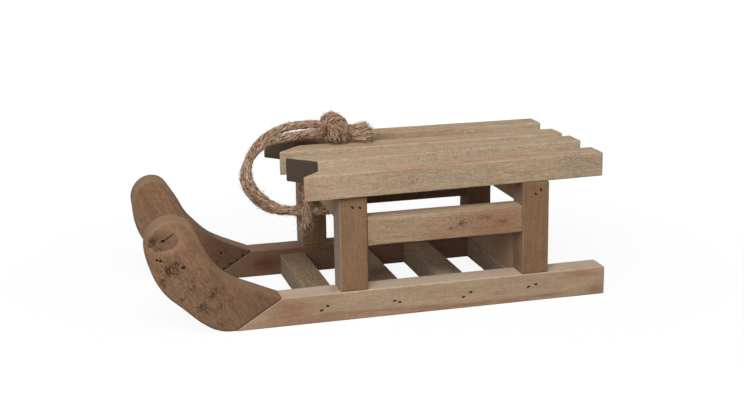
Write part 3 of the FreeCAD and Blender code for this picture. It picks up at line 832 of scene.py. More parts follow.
def worn_nose(side, seed):
    """Upcurved nose with the sawn surface's relief; the left one has a knot and worm holes."""
    bm = voxel_copy("runner_nose_" + side, settings("wood").nose_voxel)
    for _ in range(NOSE_SMOOTHINGS):
        bmesh.ops.smooth_vert(bm, verts=bm.verts, factor=0.5, use_axis_x=True,
                              use_axis_y=True, use_axis_z=True)
    bm.normal_update()
    layers = surface_layers(bm, seed)
    cosine, sine = math.cos(NOSE_GRAIN_RISE), math.sin(NOSE_GRAIN_RISE)
    (knot_x, knot_z), knot_size = NOSE_KNOT_MM
    (scarf_x, scarf_z), (toe_x, toe_z) = SCARF_LINE_MM
    scarf_length = math.hypot(toe_x - scarf_x, toe_z - scarf_z)
    heart_end, heart_fade, heart = NOSE_HEART_MM[side]
    for vert in bm.verts:
        place = vert.co / MM
        grainwise = Vector((place.x * cosine + place.z * sine, place.y,
                            place.z * cosine - place.x * sine)) * MM
        height = relief(grainwise, seed, X_AXIS)
        if vert.normal.z > -0.3:
            vert[layers["bleach"]] = 0.45 * max(0.0, 1 - 1.4 * abs(vert.normal.y))
        off_scarf = ((place.x - scarf_x) * (scarf_z - toe_z) +
                     (place.z - scarf_z) * (toe_x - scarf_x)) / scarf_length
        seam = 0.7 + 0.7 * noise.noise(place / 2.6) if side == "right" else 0.5
        vert[layers["pit"]] = max(0.0, seam) * math.exp(-(off_scarf / 1.1) ** 2)
        vert[layers["heart"]] = heart * max(0.0, min(1.0, (heart_end - place.x) / heart_fade))
        if side == "left" and vert.normal.y > 0.3:
            ratio = oval_ratio(place.x - knot_x, place.z - knot_z, knot_size, NOSE_KNOT_TILT)
            vert[layers["knot"]] = min(1.0, 0.45 * ratio)
            height += 0.4 * MM * max(0.0, 1 - ratio ** 2)
            height -= 0.25 * MM * math.exp(-((ratio - 1.0) / 0.16) ** 2)
            for (x, z), half, turn, strength in NOSE_STAINS_MM:
                away = oval_ratio(place.x - x, place.z - z, half, turn)
                raise_to(vert, layers["stain"], strength * math.exp(-away ** 2))
        vert.co += vert.normal * height
        for (x, z), reach, (forward, upward) in NOSE_SWELLS_MM[side]:
            share = MM * math.exp(-((place.x - x) ** 2 + (place.z - z) ** 2) / reach ** 2)
            vert.co += Vector((forward, 0, upward)) * share
        vert.co.z = max(vert.co.z, 0)
    bm.normal_update()
    for centre, half, turn in NOSE_MARKS_MM[side]:
        sink_mark(bm, layers["pit"], 1, [c * MM for c in centre], [h * MM for h in half], turn)
    bmesh.ops.recalc_face_normals(bm, faces=bm.faces)
    return bm


class SLEDGE_OT_runner_noses(bpy.types.Operator):
    """Adds the two upcurved noses."""

    bl_idname = "sledge.runner_noses"
    bl_label = "Runner Noses"

    def execute(self, context):
        material = sawn_pine("noses", GRAIN_ALONG_NOSE)
        for side, seed in zip(SIDES, (1.3, 4.2)):
            node = "runner_nose_" + side
            mesh = finished(worn_nose(side, seed), node + "_wood")
            new_piece(node + "_wood", mesh, material, "nose_wood", node)
        return {"FINISHED"}


class SLEDGE_OT_posts(bpy.types.Operator):
    """Adds the four uprights."""

    bl_idname = "sledge.posts"
    bl_label = "Posts"

    def execute(self, context):
        material = sawn_pine("posts", GRAIN_ALONG_Z)
        ends = {"front": (FRONT_POST_STAPLES_MM, 0.8), "rear": (REAR_POST_STAPLES_MM, 0.35)}
        seed = 1.7
        for side in SIDES:
            for end, (pairs, bleached) in ends.items():
                place_batten("post_%s_%s" % (end, side), material, "post_wood", Z_AXIS, seed,
                             marks=staple_holes(pairs, side, POST_STAPLE_TURN),
                             faces=(("bleach", FORWARD, bleached),),
                             patches=POST_PATCHES_MM[end])
                seed += 1.9
        return {"FINISHED"}


# The board between the rear posts is lower at its right end, where it was sawn askew.
REAR_BOARD_HEIGHT = 32.4 * MM
REAR_BOARD_DROP = 4.6 * MM
REAR_BOARD_EDGE = 1.4 * MM


class SLEDGE_OT_rails(bpy.types.Operator):
    """Adds the rails, the crossbars under the seat and the board between the rear posts."""

    bl_idname = "sledge.rails"
    bl_label = "Rails and Crossbars"

    def execute(self, context):
        lengthwise = sawn_pine("rails", GRAIN_ALONG_X)
        crosswise = sawn_pine("crossbars", GRAIN_ALONG_Y)
        radius = settings("wood").end_radius
        faces = {"left": (("bleach", UP, 0.4), ("heart", LEFT, 0.06)),
                 "right": (("heart", LEFT, 0.7),),
                 "front": (), "rear": (("heart", FORWARD, 0.2),)}
        for side, seed in zip(SIDES, (3.1, 6.6)):
            place_batten("side_rail_" + side, lengthwise, "rail_wood", X_AXIS, seed,
                         radius=radius, faces=faces[side], patches=RAIL_PATCHES_MM[side])
        for end, seed in (("front", 2.4), ("rear", 7.7)):
            place_batten("crossbar_" + end, crosswise, "rail_wood", Y_AXIS, seed,
                         radius=radius, faces=faces[end])

        # the board stands on the last floor slat, from post to post
        slat_low, slat_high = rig.box("floor_slat_4")
        low = Vector((slat_low.x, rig.box("post_rear_right")[1].y, slat_high.z))
        high = Vector((slat_high.x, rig.box("post_rear_left")[0].y,
                       slat_high.z + REAR_BOARD_HEIGHT))
        board = worn_batten((low, high), Y_AXIS, 4.6, radius=REAR_BOARD_EDGE,
                            faces=(("bleach", FORWARD, 0.95), ("red", FORWARD, 0.6)))
        for vert in board.verts:
            aside = (high.y - vert.co.y) / (high.y - low.y)
            vert.co.z -= REAR_BOARD_DROP * aside * (vert.co.z - low.z) / (high.z - low.z)
        new_piece("rear_board_wood", finished(board, "rear_board_wood"), crosswise, "rail_wood")
        return {"FINISHED"}


class SLEDGE_OT_floor_slats(bpy.types.Operator):
    """Adds the four cross slats between the runners."""

    bl_idname = "sledge.floor_slats"
    bl_label = "Floor Slats"

    def execute(self, context):
        material = sawn_pine("floor", GRAIN_ALONG_Y)
        for number in range(1, 5):
            place_batten("floor_slat_%d" % number, material, "floor_wood", Y_AXIS,
                         1.2 + number * 2.3, radius=settings("wood").end_radius,
                         faces=(("bleach", FORWARD, 0.35),),
                         patches=FLOOR_PATCHES_MM.get(number, ()))
        return {"FINISHED"}


class SLEDGE_OT_seat_slats(bpy.types.Operator):
    """Adds the four seat slats with their slanted front ends."""

    bl_idname = "sledge.seat_slats"
    bl_label = "Seat Slats"

    def execute(self, context):
        material = sawn_pine("seat", GRAIN_ALONG_X)
        for number, seed in zip(range(1, 5), (1.1, 3.7, 5.2, 8.3)):
            faces = (("bleach", LEFT, 0.25) if number > 1 else ("heart", LEFT, 0.08),)
            place_batten("seat_slat_%d" % number, material, "seat_wood", X_AXIS, seed,
                         slant=Y_AXIS, reach_mm=SEAT_CORNERS_MM[number], faces=faces,
                         patches=SEAT_PATCHES_MM[number])
        return {"FINISHED"}


# Rope

# Patterns along a ply, in millimetres: length, width and octaves of detail. Jute fibres are
# really 0.1 mm wide and are drawn as wide as they can show.
JUTE_PATTERNS_MM = {
    "fibres": (4.5, 0.6, 3),
    "yarns": (6, 0.9, 2),
    "gaps": (3.6, 0.9, 2),
    "dull patches": (9, 5, 2),
    "olive patches": (12, 5, 2),
}
FIBRE_SLANT = math.radians(24)


def jute(name, base, groove, crown):
    """Jute, a bast fibre, spun into yarns and laid in three plies.

    Matt and hairy: pale golden crowns, dark grooves where the plies meet and fine fibres
    along each yarn, at a slant to the ply. It follows the rope's own map, whose first
    coordinate is millimetres along the ply and the second one millimetres round it.
    """
    material, add, shader = new_material(name)
    turned = add("VectorRotate", {"Vector": add("UVMap", uv_map="lay"), "Axis": (0, 0, 1),
                                  "Angle": -FIBRE_SLANT})
    pattern = {}
    for number, (key, (along, across, detail)) in enumerate(JUTE_PATTERNS_MM.items()):
        drawn = add("VectorMath", (turned, (1 / along, 1 / across, 1)), **MULTIPLY)
        pattern[key] = add("TexNoise", {"Vector": drawn, "W": JUTE_STEP * number, "Scale": 1,
                                        "Detail": detail, "Roughness": 0.6},
                           noise_dimensions="4D")
    fibre = add("MapRange", (pattern["fibres"], 0.40, 0.59), **SMOOTH)
    colour = add("Mix", {0: fibre, 6: groove, 7: base}, **COLOURS)
    coats = [(add("MapRange", (pattern["yarns"], 0.50, 0.62, 0, 0.95), **SMOOTH), crown)]
    for key, tone in (("dull patches", "#8F6655"), ("olive patches", "#A08A66")):
        coats.append((add("MapRange", (pattern[key], 0.50, 0.68, 0, 0.5), **SMOOTH), tone))
    depth = add("Attribute", output="Fac", attribute_name="depth")
    sunk = add("MapRange", (depth, 0.98, 0.80, 0, 0.65), **SMOOTH)
    gap = add("MapRange", (pattern["gaps"], 0.54, 0.60, 0, 0.95), **SMOOTH)
    coats.append((add("Math", (sunk, gap), operation="MAXIMUM"), "#43291C"))
    for share, tone in coats:
        colour = add("Mix", {0: share, 6: colour, 7: tone}, **COLOURS)
    bump = add("Bump", {"Height": pattern["fibres"], "Strength": 1, "Distance": 0.8 * MM})
    feed(shader, {"Base Color": colour, "Normal": bump, "Roughness": 0.9,
                  "Specular IOR Level": 0.2})
    return material


def loose_jute(name, light, dark):
    """Loose jute fibres: dull and thin, each hair with a tone of its own."""
    material, add, shader = new_material(name)
    tone = add("Attribute", output="Fac", attribute_name="tone")
    feed(shader, {"Base Color": add("Mix", {0: tone, 6: dark, 7: light}, **COLOURS),
                  "Roughness": 0.85, "Specular IOR Level": 0.2})
    return material


def curve_mesh(curve):
    """Mesh of a curve, which is removed."""
    holder = placed(curve.name, curve)
    mesh = bpy.data.meshes.new_from_object(holder)
    bpy.data.objects.remove(holder)
    bpy.data.curves.remove(curve)
    return mesh


ROPE_STEP = 0.55 * MM


def route_line(route):
    """Even points along a route's NURBS spline."""
    curve = bpy.data.curves.new("route", "CURVE")
    curve.dimensions = "3D"
    curve.resolution_u = 24
    spline = curve.splines.new("NURBS")
    spline.points.add(len(route) - 1)
    for control, point in zip(spline.points, route):
        control.co = (*point, 1)
    spline.order_u = 3
    spline.use_endpoint_u = True
    mesh = curve_mesh(curve)
    line = [vert.co.copy() for vert in mesh.vertices]
    bpy.data.meshes.remove(mesh)

    total = travelled(line)[-1]
    count = max(2, round(total / ROPE_STEP))
    points, passed, wanted = [line[0]], 0.0, total / count
    for start, end in zip(line, line[1:]):
        run = (end - start).length
        while run > 0 and wanted <= passed + run + TINY and len(points) < count:
            points.append(start.lerp(end, (wanted - passed) / run))
            wanted += total / count
        passed += run
    return [*points, line[-1]]


def travelled(line):
    """Way from a line's start to each of its points."""
    travel = [0.0]
    for start, end in zip(line, line[1:]):
        travel.append(travel[-1] + (end - start).length)
    return travel


def carried_frames(line):
    """Tangent and two crossing directions at each point, turned as little as possible."""
    tangents = [(line[min(i + 1, len(line) - 1)] - line[max(i - 1, 0)]).normalized()
                for i in range(len(line))]
    side = tangents[0].orthogonal().normalized()
    frames = []
    for i, tangent in enumerate(tangents):
        if i:
            side = tangents[i - 1].rotation_difference(tangent) @ side
            side = (side - tangent * side.dot(tangent)).normalized()
        frames.append((tangent, side, tangent.cross(side)))
    return frames


def turned_pair(side, up, turn):
    """Two crossing directions, turned in their plane."""
    cosine, sine = math.cos(turn), math.sin(turn)
    return side * cosine + up * sine, up * cosine - side * sine


PLIES = 3
S_LAID = -1
# How far out a ply's middle lies and how thick the ply is, by the rope's radius.
PLY_REACH = 0.38
PLY_SHARE = 0.70
PLY_SIDES = 20
YARNS = 6
# Distance between the plies' places on the map, so that no two look alike.
PLY_SPACING_MM = 40
# How much the yarns and the fibres swell a ply's surface, by its radius.
YARN_RELIEF = 0.05
FIBRE_RELIEF = 0.15
# How far a ply's turn and girth wander, and how often in a metre.
TURN_WANDER, TURN_RATE = 0.25, 90
GIRTH_WANDER, GIRTH_RATE = 0.10, 150


def lay_plies(bm, line, frames, travel, diameter, pitch, seed, spread=None, thin=None):
    """Three plies wound round a line; spread opens the lay and thin narrows the plies."""
    layer = bm.loops.layers.uv.get("lay") or bm.loops.layers.uv.new("lay")
    depth = bm.verts.layers.float.get("depth") or bm.verts.layers.float.new("depth")
    radius = diameter / 2
    girth = 2 * math.pi * radius * PLY_SHARE / MM
    last = len(line) - 1
    for ply in range(PLIES):
        made = bmesh.ops.create_grid(bm, x_segments=last, y_segments=PLY_SIDES, size=1)
        verts = made["verts"]
        grid = {vert: (round((vert.co.x + 1) / 2 * last),
                       round((vert.co.y + 1) / 2 * PLY_SIDES)) for vert in verts}
        for face in {face for vert in verts for face in vert.link_faces}:
            for loop in face.loops:
                i, j = grid[loop.vert]
                loop[layer].uv = (travel[i] / MM + PLY_SPACING_MM * ply, j / PLY_SIDES * girth)
        rings = []
        for i, centre in enumerate(line):
            tangent, side, up = frames[i]
            turn = 2 * math.pi * (S_LAID * travel[i] / pitch + ply / PLIES)
            turn += TURN_WANDER * noise.noise(Vector((travel[i] * TURN_RATE, seed, ply)))
            outward, around = turned_pair(side, up, turn)
            reach = radius * PLY_REACH * (spread[i] if spread else 1)
            way = (tangent * pitch + around * (S_LAID * 2 * math.pi * reach)).normalized()
            wander = noise.noise(Vector((travel[i] * GIRTH_RATE, seed + 5, ply * 3)))
            ply_radius = (radius * PLY_SHARE * (thin[i] if thin else 1)
                          * (1 + GIRTH_WANDER * wander))
            rings.append((centre, centre + outward * reach, outward,
                          way.cross(outward).normalized(), ply_radius))
        for vert, (i, j) in grid.items():
            rope_middle, ply_middle, outward, beside, ply_radius = rings[i]
            angle = 2 * math.pi * j / PLY_SIDES
            yarn = math.cos(YARNS * (angle - travel[i] * math.tan(FIBRE_SLANT) / ply_radius))
            rough = noise.noise(Vector((travel[i] * 900 + seed, 1.4 * math.cos(angle),
                                        1.4 * math.sin(angle) + 5 * ply)))
            bulge = ply_radius * (1 + YARN_RELIEF * yarn + FIBRE_RELIEF * rough)
            vert.co = ply_middle + turned_pair(outward, beside, angle)[0] * bulge
            vert[depth] = min(1.0, (vert.co - rope_middle).length / radius)
        bmesh.ops.remove_doubles(bm, verts=verts, dist=SAME_PLACE)
    bmesh.ops.holes_fill(bm, edges=[edge for edge in bm.edges if edge.is_boundary], sides=0)
    bmesh.ops.recalc_face_normals(bm, faces=bm.faces)


def strand_slices():
    """The left strand, the hitch and the right strand as slices of one unbroken rope."""
    mirrored = [(x, -y, z) for x, y, z in reversed(HITCH_HALF_ROUTE)]
    left = route_line(LEFT_STRAND_ROUTE)
    hitch = route_line([*HITCH_HALF_ROUTE, *mirrored])
    whole = [*reversed(left), *hitch[1:], *route_line(RIGHT_STRAND_ROUTE)[1:]]
    frames, travel = carried_frames(whole), travelled(whole)
    first, second = len(left) - 1, len(left) + len(hitch) - 2
    cuts = {"left": slice(0, first + 1), "hitch": slice(first, second + 1),
            "right": slice(second, len(whole))}
    return {name: (whole[cut], frames[cut], travel[cut]) for name, cut in cuts.items()}


FIBRE_BENDS = 6


def fibre_piece(name, roots, material, radius, rng):
    """Loose fibres as one mesh; a root has a place, a direction, a length, a curl and a
    girth."""
    curve = bpy.data.curves.new(name, "CURVE")
    curve.dimensions = "3D"
    curve.bevel_depth = radius
    curve.bevel_resolution = 0
    curve.use_fill_caps = True
    for place, way, length, curl, girth in roots:
        spline = curve.splines.new("POLY")
        spline.points.add(FIBRE_BENDS - 1)
        point, heading = place.copy(), way.normalized()
        for number, control in enumerate(spline.points):
            control.co = (*point, 1)
            control.radius = girth * (1 - 0.55 * number / FIBRE_BENDS)
            swerve = Vector([rng.uniform(-1, 1) for _ in range(3)])
            heading = (heading + swerve * curl).normalized()
            point = point + heading * (length / (FIBRE_BENDS - 1))
    mesh = curve_mesh(curve)
    mesh.name = name
    tone = mesh.attributes.new("tone", "FLOAT", "POINT")
    per_fibre = len(mesh.vertices) // len(roots)
    for start in range(0, len(mesh.vertices), per_fibre):
        shade = rng.random() ** 0.6
        for k in range(start, start + per_fibre):
            tone.data[k].value = shade
    return new_piece(name, mesh, material, "jute")


STANDING_CURL, LYING_CURL = 0.35, 0.16
SHORTEST_HAIR_MM, LONGEST_HAIR_MM = 0.9, 6


def random_spots(line, frames, per_mm, rng):
    """Places round a rope: a point, the tangent, outward and round it."""
    for _ in range(int(travelled(line)[-1] / MM * per_mm)):
        i = rng.randrange(len(line))
        tangent, side, up = frames[i]
        yield line[i], tangent, *turned_pair(side, up, rng.uniform(0, 2 * math.pi))


def rope_hairs(line, frames, radius, counts, rng, longest=LONGEST_HAIR_MM, lying_radius=None,
               ruffle=0.1):
    """Roots of the hairs that stand off a rope, more of them short than long, and of coarse
    fibres that lie along its plies; counts says how many of each a millimetre has."""
    lying_radius = lying_radius or radius
    roots = []
    for place, tangent, outward, _ in random_spots(line, frames, counts[0], rng):
        way = outward * rng.uniform(0.25, 1) + tangent * rng.uniform(-1, 1)
        length = SHORTEST_HAIR_MM + (longest - SHORTEST_HAIR_MM) * rng.random() ** 2.5
        roots.append((place + outward * radius * 0.82, way, length * MM, STANDING_CURL, 1))
    for place, tangent, outward, around in random_spots(line, frames, counts[1], rng):
        way = (tangent + around * (S_LAID * rng.uniform(0.2, 0.9))
               + outward * rng.uniform(-0.05, ruffle))
        place = place + outward * (lying_radius * rng.uniform(0.86, 1.04))
        roots.append((place, way * rng.choice((-1, 1)), rng.uniform(2, 6.5) * MM, LYING_CURL,
                      rng.uniform(1.2, 2.9)))
    return roots


# Standing and lying fibres in a millimetre of each stretch of rope.
STRAND_HAIRS = {"left": (3.5, 10), "right": (3, 10), "hitch": (2.2, 6)}
BIGHT_HAIRS, KNOT_HAIRS, TAIL_HAIRS = (6, 10), (2, 5), (5, 6)
# The part of the hitch that is its bight, under the crossbar.
BIGHT_START, BIGHT_END = 0.42, 0.58

# Wraps of the knot round its core: each ring's middle from the knot's own, its radius and
# the direction of its axis.
KNOT_MIDDLE_MM = Vector((13.4, -31, 123))
KNOT_WRAPS_MM = (
    ((3.8, 0.4, 0), 8, (0.92, 0.32, 0.10)),
    ((-0.4, -0.6, 0.7), 8.6, (0.90, 0.36, -0.05)),
    ((-2.8, -0.8, 0.4), 7.4, (0.93, 0.30, -0.18)),
)
# How tight the lay is in the knot and in the tails, by the rope's own pitch.
KNOT_PITCH, TAIL_PITCH = 0.6, 1.6
# Where along a tail the plies begin to come apart, how far they open and how thin they get.
TAIL_OPENS, TAIL_SPREAD, TAIL_THINNING = 0.35, 0.5, 0.25
# Strands that cross the knot's left face: an arch over it and three that run down it.
KNOT_FACE_ROUTES_MM = (
    ((24, -29, 117), (22.6, -24.5, 124.5), (18.6, -22, 130), (12.8, -20.8, 132.2),
     (8, -20.6, 129), (6, -20.8, 123), (4.2, -22, 117), (4, -27, 112.6)),
    ((18.6, -25, 130.6), (18, -20.6, 126), (17, -19.4, 120), (16, -22, 114)),
    ((14.6, -23, 130.4), (13.8, -18.8, 125), (13, -18.4, 119), (12.2, -21.6, 113.6)),
    ((10.6, -22, 127.6), (9.4, -18.6, 122.4), (7.8, -18.8, 117.8), (6.6, -22.4, 113.6)),
)
# Routes of the strands inside the knot and of the loose ends, which have come apart.
KNOT_CORE_ROUTES_MM = (
    ((27, -27, 119.8), (20, -27.4, 120.4), (12, -30, 121.5), (4, -31.5, 118)),
    ((27, -35.5, 124), (20, -35, 124), (12, -32, 121), (4, -32.5, 120)),
)
TAIL_ROUTES_MM = (
    ((6, -33.5, 120.8), (0.5, -34.5, 119.8), (-5, -35.3, 119.4), (-10, -35.8, 119.8),
     (-14.5, -36.2, 121)),
    ((8, -32, 119.6), (1, -31.8, 119), (-5, -31.6, 118.4), (-10, -31.4, 117.8),
     (-16.4, -31.2, 117.4)),
    ((8, -30, 118.8), (1, -28.8, 117.4), (-5, -28, 116.2), (-10, -27.2, 115.4),
     (-16.8, -26.6, 114.9)),
    ((6, -28.5, 118.5), (1, -27, 116.4), (-4.5, -24.8, 114.4), (-9.5, -22, 113.2),
     (-14.5, -19.2, 112.9)),
)
# Ends of the fan of frayed fibres behind the knot, from its upper tip to its lower one.
FAN_ROOT_MM = ((2, -33, 120.5), (0, -28, 116.5))
FAN_RIM_MM = (
    (-14.6, -36, 123.8), (-17, -34, 120.6), (-18.8, -31, 117.4), (-19, -26, 114.4),
    (-17, -20, 112.4),
)
FAN_FIBRES = 420
FAN_SCATTER = 1.2
FAN_CURL = 0.12


def in_metres(route):
    """Points of a route that is given in millimetres."""
    return [tuple(component * MM for component in point) for point in route]


def ring_line(middle, radius, axis):
    """Points round a slightly squashed ring, closed by running past its start."""
    way = Vector(axis).normalized()
    side = way.cross(Vector(UP)).normalized()
    up = side.cross(way)
    steps = max(24, round(2 * math.pi * radius / ROPE_STEP))
    points = []
    for k in range(steps + 3):
        turn = 2 * math.pi * k / steps
        swing = radius * (1 + 0.06 * math.sin(2 * turn + 1) + 0.04 * math.sin(3 * turn))
        points.append(middle + side * (swing * 0.94 * math.cos(turn))
                      + up * (swing * math.sin(turn)))
    return points


class SLEDGE_OT_pull_rope(bpy.types.Operator):
    """Adds the rope: its hitch, strands, knot, loose ends and fuzz."""

    bl_idname = "sledge.pull_rope"
    bl_label = "Pull Rope"

    def execute(self, context):
        rope = settings("rope")
        rng = random.Random(11)
        twine = jute("jute, three-ply", "#BC967A", "#6A4535", "#EACFB4")
        hair = loose_jute("jute, loose fibres", "#EACDAF", "#5E3A29")
        slices = strand_slices()
        strands = {}
        for name, seed in (("left", 2), ("hitch", 5), ("right", 8)):
            bm = bmesh.new()
            lay_plies(bm, *slices[name], rope.diameter, rope.pitch, seed)
            strands[name] = new_piece("rope_" + name, finished(bm, "rope_" + name), twine,
                                      "jute", "pull_rope_" + name)
        knot, knot_lines = self.add_knot(rope, twine)
        tails, tail_lines = self.add_tails(rope, twine)

        radius = rope.diameter / 2
        fuzz = {}
        for name, counts in STRAND_HAIRS.items():
            line, frames, _ = slices[name]
            roots = rope_hairs(line, frames, radius, counts, rng)
            if name == "hitch":
                # the bight is the most worn and hangs full of loose fibres
                bight = slice(round(len(line) * BIGHT_START), round(len(line) * BIGHT_END))
                roots += rope_hairs(line[bight], frames[bight], radius, BIGHT_HAIRS, rng, 10,
                                    rope.diameter * 0.55, 0.35)
            fuzz[name] = fibre_piece("rope_fuzz_" + name, roots, hair, rope.fibre_radius, rng)
        roots = []
        for line in knot_lines:
            roots += rope_hairs(line, carried_frames(line), rope.knot_diameter / 2, KNOT_HAIRS,
                                rng, 3.5, ruffle=0.35)
        for line, frames in tail_lines:
            roots += rope_hairs(line, frames, radius, TAIL_HAIRS, rng, ruffle=0.3)
        roots += self.frayed_fan(rng)
        frayed = fibre_piece("rope_fuzz_knot", roots, hair, rope.fibre_radius, rng)

        ends = (knot, tails, frayed)
        for name, route, length, far_end, stiffness, others in (
                ("left", LEFT_STRAND_ROUTE, LEFT_LENGTH, "knot", "medium", ends),
                ("right", RIGHT_STRAND_ROUTE, RIGHT_LENGTH, "knot", "medium", ends),
                ("hitch", HITCH_HALF_ROUTE, HITCH_LENGTH, "object", "limp", ())):
            path = slices[name][0]
            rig.cord(strands[name], exit=route[0], length=length, diameter=rope.diameter,
                    far_end=far_end, stiffness=stiffness, lay="loose",
                    path=path[::-1] if name == "left" else path,
                    with_pieces=[*others, fuzz[name]])
        return {"FINISHED"}

    def add_knot(self, rope, twine):
        """Adds the knot; gives it with the lines of its wraps."""
        lines = [ring_line((KNOT_MIDDLE_MM + Vector(offset)) * MM, radius * MM, axis)
                 for offset, radius, axis in KNOT_WRAPS_MM]
        lines += [route_line(in_metres(route)) for route in KNOT_FACE_ROUTES_MM]
        cores = [route_line(in_metres(route)) for route in KNOT_CORE_ROUTES_MM]
        laid = [(line, rope.knot_diameter, rope.pitch * KNOT_PITCH, 20 + number)
                for number, line in enumerate(lines)]
        laid += [(line, rope.diameter, rope.pitch, 30 + number)
                 for number, line in enumerate(cores)]
        bm = bmesh.new()
        for line, diameter, pitch, seed in laid:
            lay_plies(bm, line, carried_frames(line), travelled(line), diameter, pitch, seed)
        piece = new_piece("rope_knot", finished(bm, "rope_knot"), twine, "jute",
                          "pull_rope_knot")
        return piece, lines

    def add_tails(self, rope, twine):
        """Adds the two loose ends; gives them with their lines and frames."""
        bm = bmesh.new()
        lines = []
        for number, route in enumerate(TAIL_ROUTES_MM):
            line = route_line(in_metres(route))
            frames, travel = carried_frames(line), travelled(line)
            ends = [max(0.0, distance / travel[-1] - TAIL_OPENS) / (1 - TAIL_OPENS)
                    for distance in travel]
            lay_plies(bm, line, frames, travel, rope.diameter, rope.pitch * TAIL_PITCH,
                      40 + number, spread=[1 + TAIL_SPREAD * share ** 1.5 for share in ends],
                      thin=[1 - TAIL_THINNING * share for share in ends])
            lines.append((line, frames))
        piece = new_piece("rope_tails", finished(bm, "rope_tails"), twine, "jute",
                          "pull_rope_tails")
        return piece, lines

    def frayed_fan(self, rng):
        """Roots of the coarse fibres that fan out from the knot between the two loose ends."""
        root, rim = [[Vector(point) for point in points]
                     for points in (FAN_ROOT_MM, FAN_RIM_MM)]
        roots = []
        for _ in range(FAN_FIBRES):
            start = root[0].lerp(root[1], rng.random())
            stretch = rng.random() * (len(rim) - 1)
            span = int(stretch)
            end = rim[span].lerp(rim[span + 1], stretch - span)
            scatter = Vector([rng.uniform(-FAN_SCATTER, FAN_SCATTER) for _ in range(3)])
            start = start.lerp(end, rng.uniform(0, 0.6)) + scatter
            way = end + scatter * 1.2 - start
            length = way.length * rng.uniform(0.7, 1) * MM
            roots.append((start * MM, way, length, FAN_CURL, rng.uniform(1.8, 3.6)))
        return roots


# Stage

# The camera stands a metre off the sledge's left side, a little ahead and above.
CAMERA_PLACE = (0.24667, 0.95916, 0.31980)
CAMERA_YAW = 0.260104
CAMERA_PITCH = 0.247253
CAMERA_ROLL = -0.016517
CAMERA_FOCAL_PX = 1328.99
IMAGE_WIDTH_PX = 744
SENSOR_MM = 36
FLOOR_REACH = 6
# The floor's own light leaves the shadow near the sledge and hides the floor further out.
SHADOW_NEAR, SHADOW_FAR, SHADOW_LIGHT = 0.2, 0.5, 0.88
FLOOR_GLOW = 1.03


def camera_matrix():
    """The camera's place and its turn by yaw, pitch and roll."""
    forward = Vector((-math.sin(CAMERA_YAW) * math.cos(CAMERA_PITCH),
                      -math.cos(CAMERA_YAW) * math.cos(CAMERA_PITCH), -math.sin(CAMERA_PITCH)))
    level = Vector((-math.cos(CAMERA_YAW), math.sin(CAMERA_YAW), 0))
    right, up = turned_pair(level, level.cross(forward), CAMERA_ROLL)
    turn = Matrix((right, up, -forward)).transposed()
    return Matrix.Translation(CAMERA_PLACE) @ turn.to_4x4()


def soft_lamp(name, place, aim, width, power):
    """Large square lamp that looks at a point."""
    lamp = bpy.data.lights.new(name, "AREA")
    lamp.shape = "SQUARE"
    lamp.size = width
    lamp.energy = power
    holder = placed(name, lamp)
    holder.location = place
    holder.rotation_euler = (Vector(aim) - Vector(place)).to_track_quat("-Z", "Y").to_euler()


def seen_directly(add):
    """1 for what the camera sees, also by way of a gloss or through glass."""
    rays = [add("LightPath", output=name)
            for name in ("Is Camera Ray", "Is Glossy Ray", "Is Transmission Ray")]
    either = add("Math", rays[:2], operation="MAXIMUM")
    return add("Math", (either, rays[2]), operation="MAXIMUM")


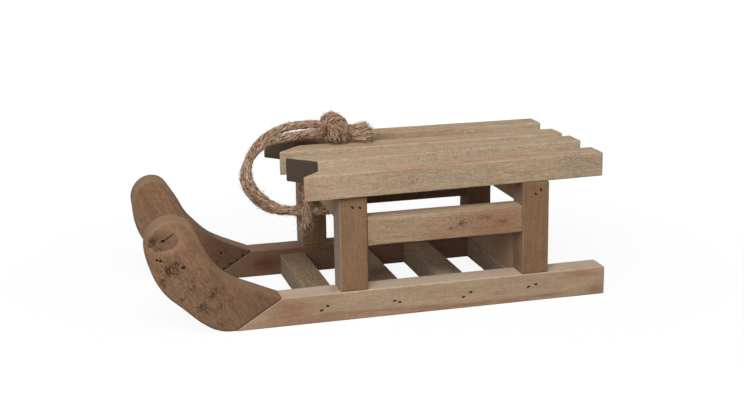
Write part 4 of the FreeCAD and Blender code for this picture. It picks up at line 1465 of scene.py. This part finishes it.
class SLEDGE_OT_stage(bpy.types.Operator):
    """Adds the floor, the lamps, the sky and the camera."""

    bl_idname = "sledge.stage"
    bl_label = "Stage"

    def execute(self, context):
        stage = settings("stage")
        scene = context.scene
        bm = bmesh.new()
        bmesh.ops.create_grid(bm, x_segments=1, y_segments=1, size=FLOOR_REACH)
        floor = placed("floor", finished(bm, "floor"))
        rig.stage(floor)
        material, add, shader = new_material("matt pale floor")
        seen = seen_directly(add)
        base = add("Mix", {0: seen, 6: (*stage.floor_colour, 1), 7: "#F6F6F6"}, **COLOURS)
        feed(shader, {"Base Color": base, "Roughness": 1, "Specular IOR Level": 0})
        away = add("VectorMath", (add("TexCoord", output="Object"),), output="Value",
                   operation="LENGTH")
        plain = add("MapRange", (away, SHADOW_NEAR, SHADOW_FAR, SHADOW_LIGHT, 1), **SMOOTH)
        share = add("Math", (seen, plain), **MULTIPLY)
        glow = add("Emission", {"Color": "#FFFFFF", "Strength": FLOOR_GLOW})
        mixed = add("MixShader", (share, shader.outputs[0], glow))
        feed(material.node_tree.nodes["Material Output"], {"Surface": mixed})
        floor.data.materials.append(material)

        world = bpy.data.worlds.new("studio")
        world.use_nodes = True
        scene.world = world
        add = functools.partial(add_node, world.node_tree)
        strength = add("MapRange", (seen_directly(add), 0, 1, stage.sky_strength, 1))
        feed(world.node_tree.nodes["Background"], {"Color": "#FFFFFF", "Strength": strength})

        soft_lamp("key", (0.22, 1.05, 1.25), (0, 0, 0.05), 1.0, stage.key_power)
        soft_lamp("fill", (0.80, 1.05, 0.60), (0, 0, 0.06), 0.7, stage.fill_power)

        camera = bpy.data.cameras.new("camera")
        camera.sensor_width = SENSOR_MM
        camera.lens = CAMERA_FOCAL_PX * SENSOR_MM / IMAGE_WIDTH_PX
        scene.camera = placed("camera", camera)
        scene.camera.matrix_world = camera_matrix()
        scene.view_settings.view_transform = "Standard"
        return {"FINISHED"}


OPERATORS = (
    SLEDGE_OT_runner_bars, SLEDGE_OT_runner_noses, SLEDGE_OT_posts, SLEDGE_OT_rails,
    SLEDGE_OT_floor_slats, SLEDGE_OT_seat_slats, SLEDGE_OT_pull_rope, SLEDGE_OT_stage,
)


class SLEDGE_PT_panel(bpy.types.Panel):
    """Lists the sledge's pieces in the sidebar."""

    bl_label = "Sledge"
    bl_idname = "SLEDGE_PT_panel"
    bl_space_type = "VIEW_3D"
    bl_region_type = "UI"
    bl_category = "Sledge"

    def draw(self, context):
        for operator in OPERATORS:
            self.layout.operator(operator.bl_idname)


SETTINGS = {"wood": SledgeWoodSettings, "rope": SledgeRopeSettings,
            "stage": SledgeStageSettings}
CLASSES = (*SETTINGS.values(), *OPERATORS, SLEDGE_PT_panel)


def register():
    for item in CLASSES:
        bpy.utils.register_class(item)
    for name, group in SETTINGS.items():
        setattr(bpy.types.Scene, "sledge_" + name, bpy.props.PointerProperty(type=group))


def unregister():
    for name in SETTINGS:
        delattr(bpy.types.Scene, "sledge_" + name)
    for item in reversed(CLASSES):
        bpy.utils.unregister_class(item)


def main():
    register()
    for operator in OPERATORS:
        family, name = operator.bl_idname.split(".")
        getattr(getattr(bpy.ops, family), name)()
    sizes = {"cad": [list(point) for point in CAD_BOX],
             "visual": [list(point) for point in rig.bounds()]}
    with open("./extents.json", "w") as file:
        json.dump(sizes, file)


if __name__ == "__main__":
    main()
